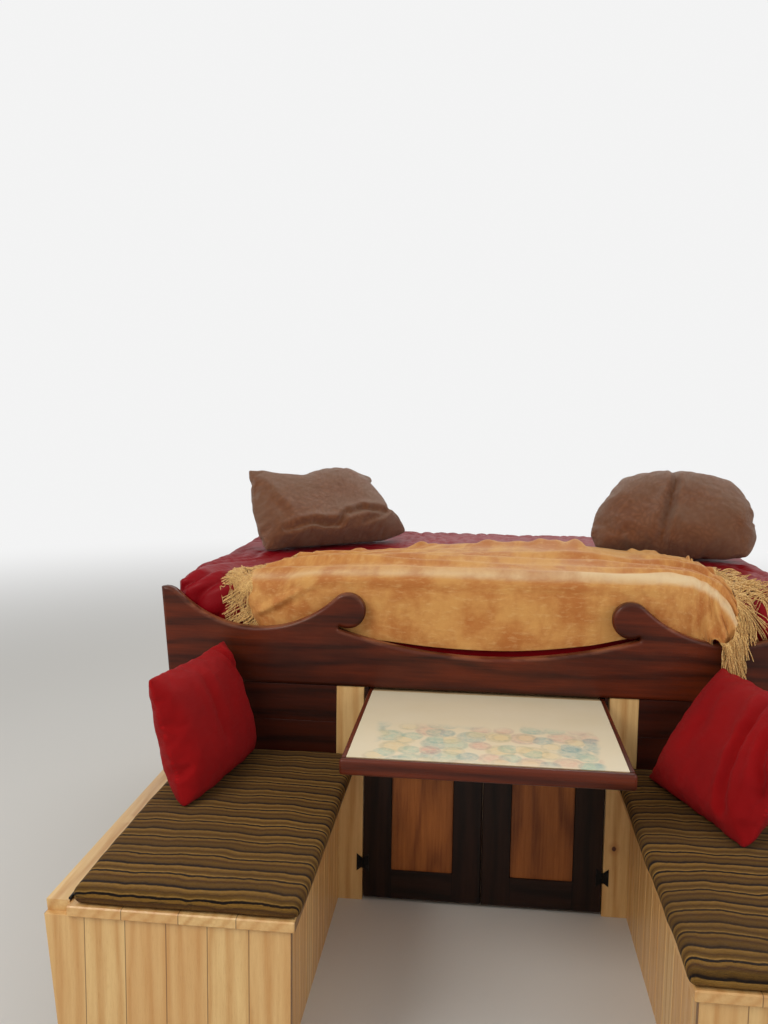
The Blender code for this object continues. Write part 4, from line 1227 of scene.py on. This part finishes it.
def fringe_strands(edge, outward, draws):
    """Curly cords knotted to an end of the sheet. Each starts at the edge, lies
    out over what is under it, and falls where it passes the board."""
    paths = []
    for place, fall, reach in edge:
        length = reach * draws.uniform(0.75, 1.15)
        heading = (outward + Vector((draws.gauss(0, 0.4), draws.gauss(0, 0.6), 0))).normalized()
        lean = Vector((3.0 * (TASSEL_X - place.x) + draws.gauss(0, 0.12),
                       min(0.0, 7.0 * (BOARD_LOW.y - 0.012 - place.y)), -1)).normalized()
        side = Vector((-heading.y, heading.x, 0)).lerp(Vector((1, 0, 0)), fall)
        turns, start = draws.uniform(7, 17), draws.uniform(0, 2 * pi)
        curl = draws.uniform(0.002, 0.007) * (1 - 0.6 * fall)
        depth = 0.014 * draws.random()
        point = place.copy()
        path = []
        for index in range(FRINGE_POINTS):
            share = index / (FRINGE_POINTS - 1)
            shown = point + side * curl * sin(turns * share + start) * min(1.0, 3 * share)
            if fall > 0.5:
                if shown.z < BOARD_CLEAR_Z:
                    shown.y = min(shown.y, BOARD_LOW.y - CLOTH_GAP - depth)
            else:
                hit, under, _, _ = quilt.ray_cast((*shown.xy, CAST_FROM), (0, 0, -1))
                rest = under.z if hit else quilt_low.z
                shown.y = max(shown.y, BOARD_HIGH.y + CLOTH_GAP)
                shown.z = max(rest + 0.002 + depth * (0.4 + 0.6 * share), shown.z)
                point.z -= 0.6 * length / FRINGE_POINTS
            path.append(shown)
            step = heading.lerp(lean, min(1.0, fall * (0.6 + 1.5 * share)))
            point = point + step.normalized() * length / FRINGE_POINTS
        paths.append(path)
    return cords(paths, FRINGE_RADIUS, 0, False)


def cord_finish():
    """Twisted gold cotton cord."""
    material, tree = new_material("gold_fringe")
    place = object_place(tree)
    strand = between(tree, noise_of(tree, place, 420.0, 2.0), 0.36, 0.62)
    twist = wave(tree, axes(tree, place)["Z"], 3200.0)
    return finished(material, {
        "Base Color": mixed(tree, strand, srgb(196, 132, 58), srgb(255, 218, 142)),
        "Roughness": 0.7, "Sheen Weight": 0.2,
        "Normal": bump(tree, twist, 0.0003)})


gold_cord = cord_finish()
fringes = []
for name, column, outward, reach, count in (
        ("left", THROW_COLUMNS[0], Vector((-1, 0.35, 0)), 0.088, 620),
        ("right", THROW_COLUMNS[-1], Vector((1, 0.1, 0)), 0.134, 560)):
    draws = Random(f"fringe {name}")
    path = [Vector(point) for point in column]
    along = 0.0 if name == "left" else 1.0
    starts = []
    for index in range(count):
        share = (index + draws.random()) / count
        place = run_through(path, share)
        facing = Vector((0, -1, 0.2)) if share < 0.4 else Vector((0, 0, 1))
        place += facing.normalized() * throw_fold(along, share)
        fall = 1 - ease(share, 0.50, 0.64) if name == "right" else 0.0
        place += fall * Vector((-0.004, -0.006, 0.012))
        starts.append((place, fall, reach))
    laid = [start for start in starts if start[1] <= 0.5]
    hanging = [start for start in starts if start[1] > 0.5]
    for kind, edge in (("fringe", laid), ("tassels", hanging)):
        if edge:
            fringes.append(show(f"{kind}_{name}", fringe_strands(edge, outward, draws), gold_cord,
                                "base", "gold_velvet"))
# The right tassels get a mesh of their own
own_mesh(fringes[-1])


# The pillows and the loose cushions: two squares of cloth sewn together and
# stuffed. Each is blown up from its flat cover, then slumps on what bears it.
# How far apart a cover's two sides start, and how its cloth behaves
COVER_START = 0.012
COVER_CLOTH = (("quality", 5), ("mass", 0.3), ("tension_stiffness", 18),
               ("compression_stiffness", 12), ("shear_stiffness", 6),
               ("bending_stiffness", 0.35), ("use_pressure", True),
               ("uniform_pressure_force", 2.0))
COVER_FRAMES = 14


def stuffed(name, width, height, belly, cells):
    """A sewn cover filled by pressure: a form whose width lies along X. Its cut
    bellies out between the corners, so that the filled sides come out nearly
    straight."""
    form = bmesh.new()
    columns, rows = round(width / cells), round(height / cells)
    bmesh.ops.create_grid(form, x_segments=columns, y_segments=rows, size=0.5)
    cut = form.verts.layers.float_vector.new("cut")
    for vertex in form.verts:
        u, v = 2 * vertex.co.x, 2 * vertex.co.y
        vertex.co.x = width / 2 * u * sqrt(1 - belly * v * v)
        vertex.co.y = height / 2 * v * sqrt(1 - belly * u * u)
    thicken(form, (0, 0, COVER_START))
    draws = Random(name)
    for vertex in form.verts:
        vertex[cut] = vertex.co
        vertex.co.z += 0.002 * draws.uniform(-1, 1)
    mesh = bpy.data.meshes.new(name)
    form.to_mesh(mesh)
    form.free()
    cover = link(name, mesh)
    cloth = cover.modifiers.new("cloth", "CLOTH")
    for setting, value in COVER_CLOTH:
        setattr(cloth.settings, setting, value)
    cloth.settings.effector_weights.gravity = 0
    cloth.point_cache.frame_start = 1
    cloth.point_cache.frame_end = COVER_FRAMES
    for frame_number in range(1, COVER_FRAMES + 1):
        bpy.context.scene.frame_set(frame_number)
    form = as_form(cover)
    bpy.context.scene.frame_set(1)
    return form


def fit_to(form, width, height, thickness):
    """Centres a form and brings it to a size along each axis."""
    for axis, wanted in enumerate((width, height, thickness)):
        values = [vertex.co[axis] for vertex in form.verts]
        low, high = min(values), max(values)
        for vertex in form.verts:
            vertex.co[axis] = (vertex.co[axis] - (low + high) / 2) * wanted / (high - low)


def crease(form, path, depth, width):
    """Presses a soft crease into a form's front along a wandering path on its face."""
    points = [Vector(point) for point in path]
    for vertex in form.verts:
        if vertex.co.z < 0:
            continue
        place = Vector((vertex.co.x, vertex.co.y))
        place += 0.016 * Vector((ripple(9 * place.x, 9 * place.y, depth * 99),
                                 ripple(9 * place.x, 9 * place.y, 5 + depth * 99)))
        gap, share = 1.0, 0.0
        for index, (start, end) in enumerate(zip(points, points[1:])):
            line = end - start
            part = min(max((place - start).dot(line) / line.length_squared, 0.0), 1.0)
            reach = (place - (start + line * part)).length
            if reach < gap:
                gap, share = reach, (index + part) / (len(points) - 1)
        near = exp(-(gap / width) ** 2)
        beside = exp(-((gap - 2.0 * width) / (1.3 * width)) ** 2)
        taper = sin(pi * min(max(0.06 + 0.88 * share, 0.0), 1.0)) ** 0.5
        vertex.co.z += taper * depth * (0.5 * beside - near)


def settle(form, width, height, hand, taper, lean_in, ear, tip, sag):
    """Lets a filled cover settle: its top draws in, one shoulder slopes away, that
    side's upper corner stays out as a flat ear and its lower one as a tip, and
    the top edge sags. Hand is 1 where that side is the right one."""
    for vertex in form.verts:
        across, level = hand * 2 * vertex.co.x / width, vertex.co.y / height + 0.5
        corner = ease(across, 0.66, 0.98) * ease(level, 0.70, 0.98)
        foot = ease(across, 0.6, 1.0) * (1 - ease(level, 0.0, 0.42))
        vertex.co.x *= 1 - taper * level ** 2
        vertex.co.x += hand * (tip[0] * foot
                               - lean_in * level * ease(across, -0.3, 0.9) * (1 - corner))
        dip = sag * exp(-((across + 0.3) / 0.4) ** 2) * ease(level, 0.45, 1.0)
        vertex.co.y += tip[1] * foot - dip - ear * corner
        vertex.co.z -= (2.0 * ear + 0.4 * vertex.co.z) * corner


SPREAD_DEPTH = 0.02


def stand(form, base, lean, yaw, support, slump):
    """Leans a form back, turns it, and lets its lower edge spread on its support."""
    levels = [vertex.co.y for vertex in form.verts]
    height = max(levels) - min(levels)
    turn = Matrix.Rotation(radians(yaw), 4, "Z") @ Matrix.Rotation(radians(lean), 4, "X")
    for vertex in form.verts:
        level = vertex.co.y / height
        vertex.co.z *= 1 - slump * level * 1.6
        vertex.co.x *= 1 - 0.12 * slump * level
        vertex.co.y += height / 2
    bmesh.ops.transform(form, matrix=Matrix.Translation(base) @ turn, verts=form.verts)
    for vertex in form.verts:
        over = vertex.co.z - support
        if over < SPREAD_DEPTH:
            vertex.co.z = support + SPREAD_DEPTH * exp(over / SPREAD_DEPTH - 1)


def weave_group():
    """Threads that cross: a height over the cloth's own flat place."""
    group, given = shader_group("weave", {"Vector": "Vector", "Rate": "Float"},
                                {"Height": "Float"})
    threads = axes(group, given["Vector"])
    return finish_group(group, {"Height": calc(
        group, "MULTIPLY", wave(group, threads["X"], given["Rate"]),
        wave(group, threads["Y"], given["Rate"]))})


WEAVE = weave_group()


def bronze_finish():
    """Bronze-brown furnishing weave with a tone-on-tone scrolling figure."""
    material, tree = new_material("bronze_weave")
    cut = cut_place(tree)
    bent = node(tree, "TexNoise", {"Vector": cut, "Scale": 9.0, "Detail": 2.0}).outputs["Color"]
    bent = vector_calc(tree, "SUBTRACT", bent, (0.5, 0.5, 0.5))
    swirl = vector_calc(tree, "MULTIPLY_ADD", bent, (0.14, 0.14, 0.0), cut)
    figure = node(tree, "TexVoronoi", {"Vector": swirl, "Scale": 38.0, "Randomness": 0.9},
                  feature="DISTANCE_TO_EDGE").outputs["Distance"]
    figure = between(tree, figure, 0.05, 0.30)
    fade = noise_of(tree, cut, 7.0)
    colour = mixed(tree, figure, srgb(128, 76, 46), srgb(144, 90, 56))
    colour = mixed(tree, between(tree, fade, 0.35, 0.7, 0.0, 0.7), colour, srgb(130, 86, 58))
    weave = node(tree, "Group", {"Vector": cut, "Rate": 4200.0}, node_tree=WEAVE).outputs[0]
    return finished(material, {
        "Base Color": colour,
        "Roughness": between(tree, figure, 0.0, 1.0, 0.56, 0.50),
        "Specular IOR Level": 0.28, "Sheen Weight": 0.35,
        "Sheen Roughness": 0.4, "Sheen Tint": srgb(220, 226, 214),
        "Normal": bump(tree, calc(tree, "MULTIPLY_ADD", figure, 0.5, weave), 0.0005)})


def stuffed_piece(name, cover, size, creases, settled, stance, *shown):
    """A piece of a stuffed cover: brought to its size, creased, settled and stood."""
    form = stuffed(*cover)
    fit_to(form, *size)
    for line in creases:
        crease(form, *line)
    if settled:
        settle(form, size[0], size[1], *settled)
    stand(form, *stance)
    piece = show(name, form, *shown)
    smooth = piece.modifiers.new("smooth", "SUBSURF")
    smooth.levels = smooth.render_levels = 1


bronze = bronze_finish()
PILLOW_COVER = (0.74, 0.52)
pressed_top = quilt_high.z - QUILT_CREST + PRESSED_LIFT
for side, seed, belly, size, base, lean, yaw, slump, settled, creases in (
        ("left", "pillow a", 0.17, (0.665, 0.375, 0.215), (-0.612, 0.650, 1.066), 56, 39, 0.35,
         (1, 0.02, 0.090, 0.030, (0.035, 0.040), 0.034),
         ((((-0.25, -0.130), (-0.12, -0.120), (-0.02, -0.135), (0.03, -0.100)), 0.026, 0.011),
          (((0.03, -0.105), (0.12, -0.070), (0.24, -0.085)), 0.022, 0.010),
          (((0.10, -0.140), (0.20, -0.110), (0.29, -0.060)), 0.014, 0.009),
          (((-0.30, 0.120), (-0.27, 0.00), (-0.25, -0.10)), 0.010, 0.016))),
        ("right", "pillow b", 0.36, (0.645, 0.375, 0.250), (0.705, 0.545, 1.066), 58, -10, 0.15,
         (-1, 0.24, 0.020, 0.0, (0.045, 0.0), 0.0),
         ((((-0.01, 0.18), (0.00, 0.06), (-0.03, -0.04), (-0.04, -0.15)), 0.034, 0.018),
          (((-0.30, -0.06), (-0.20, -0.12), (-0.12, -0.14)), 0.012, 0.012)))):
    stuffed_piece(f"stuffed_pillow_{side}", (seed, *PILLOW_COVER, belly, 0.0150), size, creases,
                  settled, (base, lean, yaw, pressed_top, slump), bronze, "base",
                  "bronze_weave", [f"pillow_{side}"])


def cotton_finish():
    """Plain red cotton, a little faded on its ridges."""
    material, tree = new_material("red_cotton")
    cut = cut_place(tree)
    weave = node(tree, "Group", {"Vector": cut, "Rate": 3600.0}, node_tree=WEAVE).outputs[0]
    fade = noise_of(tree, cut, 6.0, 4.0)
    slub = fibres(tree, cut, (12, 340, 1), 2.0)
    colour = mixed(tree, fade, srgb(182, 14, 18), srgb(140, 6, 12))
    colour = mixed(tree, between(tree, slub, 0.5, 0.75, 0.0, 0.15), colour, srgb(190, 36, 36))
    return finished(material, {
        "Base Color": colour,
        "Roughness": between(tree, slub, 0.3, 0.7, 0.62, 0.78),
        "Specular IOR Level": 0.14, "Sheen Weight": 0.02, "Sheen Roughness": 0.45,
        "Normal": bump(tree, calc(tree, "ADD", weave, slub), 0.0004)})


cotton = cotton_finish()
CUSHION_COVER = (0.54, 0.48)
CUSHION_WIDTH = 0.465
CUSHION_THICKNESS = 0.145
seat_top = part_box("seat_cushion_right")[1].z
for side, seed, height, base, lean, yaw, creases in (
        ("left", "cushion a", 0.380, (-0.782, -0.440, 0.508), 74, 80,
         ((((0.12, 0.20), (0.15, 0.15), (0.20, 0.09)), 0.020, 0.011),
          (((-0.05, 0.17), (-0.03, 0.06), (-0.02, -0.05)), 0.010, 0.018))),
        ("right", "cushion b", 0.418, (0.576, -0.492, 0.508), 56, -70,
         ((((0.05, 0.19), (0.08, 0.06), (0.11, -0.05), (0.15, -0.15)), 0.026, 0.012),
          (((0.14, 0.16), (0.18, 0.02), (0.20, -0.10)), 0.022, 0.011),
          (((-0.10, 0.16), (-0.09, 0.05), (-0.08, -0.06)), 0.007, 0.022)))):
    stuffed_piece(f"stuffed_cushion_{side}", (seed, *CUSHION_COVER, 0.12, 0.0135),
                  (CUSHION_WIDTH, height, CUSHION_THICKNESS), creases, None,
                  (base, lean, yaw, seat_top + 0.002, 0.12), cotton, f"lid_{side}",
                  "red_cotton", [f"red_cushion_{side}"])


# The seat pads: foam in a striped chenille cover, boxed with a soft round edge
# and slightly crowned. The stripes run across the seat and over its edge.
PAD_BAND_REPEAT = 0.0905
PAD_BANDS = (
    (0.0, (20, 11, 7)), (0.075, (24, 14, 9)), (0.105, (176, 134, 66)), (0.16, (122, 88, 34)),
    (0.26, (92, 62, 24)), (0.35, (135, 98, 40)), (0.44, (163, 122, 58)), (0.48, (26, 15, 10)),
    (0.535, (30, 18, 11)), (0.60, (96, 67, 26)), (0.72, (117, 84, 32)), (0.84, (81, 51, 23)),
    (0.93, (145, 106, 45)))


def chenille_finish():
    """Wavy bands of olive, tan, umber and plum with dark and pale thin lines."""
    material, tree = new_material("striped_weave")
    place = cut_place(tree)
    parts = axes(tree, place)
    waviness = fibres(tree, place, (9.0, 4.0, 1.0))
    y = calc(tree, "MULTIPLY_ADD", waviness, 0.038, parts["Y"])
    ragged = fibres(tree, place, (60.0, 200.0, 1.0), 3.0, 0.65)
    y = calc(tree, "MULTIPLY_ADD", ragged, 0.0040, y)
    share = calc(tree, "FRACT", calc(tree, "DIVIDE", y, PAD_BAND_REPEAT))
    flecks = fibres(tree, place, (150.0, 700.0, 1.0), 3.0, 0.6)
    colour = mixed(tree, between(tree, flecks, 0.48, 0.7, 0.0, 0.35),
                   tints_along(tree, share, PAD_BANDS), srgb(58, 40, 22))
    drift = fibres(tree, place, (1.5, 4.0, 1.0), 2.0)
    colour = mixed(tree, between(tree, drift, 0.4, 0.65, 0.0, 0.3), colour, srgb(88, 62, 30))
    height = calc(tree, "MULTIPLY_ADD", flecks, 1.4, wave(tree, y, 2100.0))
    return finished(material, {
        "Base Color": colour,
        "Roughness": between(tree, flecks, 0.3, 0.7, 0.75, 0.9),
        "Specular IOR Level": 0.12, "Sheen Weight": 0.03, "Sheen Roughness": 0.5,
        "Normal": bump(tree, height, 0.0008)})


chenille = chenille_finish()
PAD_ROUND = 0.019
PAD_CROWN = 0.006
PAD_INSET = Vector((0.004, 0.004, 0.001))
for side in ("left", "right"):
    low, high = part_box(f"seat_cushion_{side}")
    form = rounded_block(low + PAD_INSET, high - PAD_INSET, PAD_ROUND, 5, 0.022)
    cut = form.verts.layers.float_vector.new("cut")
    middle = (low + high) / 2
    half = (high - low) / 2
    for vertex in form.verts:
        offset = vertex.co - middle
        u, v = offset.x / half.x, offset.y / half.y
        crown = max(0.0, (1 - u ** 4) * (1 - v ** 8))
        soft = ripple(5 * vertex.co.x, 5 * vertex.co.y, 4 * vertex.co.z)
        # The cover's stripes run on over the two ends, so its cut is laid out flat
        over = ease(abs(v), 0.95, 0.99) * (high.z - vertex.co.z)
        vertex[cut] = (vertex.co.x, vertex.co.y + copysign(over, v), 0)
        if offset.z > 0:
            vertex.co.z += PAD_CROWN * (crown - 0.45) + 0.0022 * soft
        edge_wave = 0.0035 * ripple(6 * vertex.co.y, 6 * vertex.co.x, 8)
        if abs(u) > 0.9:
            vertex.co.x += (0.0024 * (1 - v * v) + edge_wave - 0.0035) * copysign(1, u)
        if abs(v) > 0.96:
            vertex.co.y += edge_wave * copysign(1, v)
    pad = show(f"seat_pad_{side}", form, chenille, f"lid_{side}", "striped_weave",
               [f"seat_cushion_{side}"])
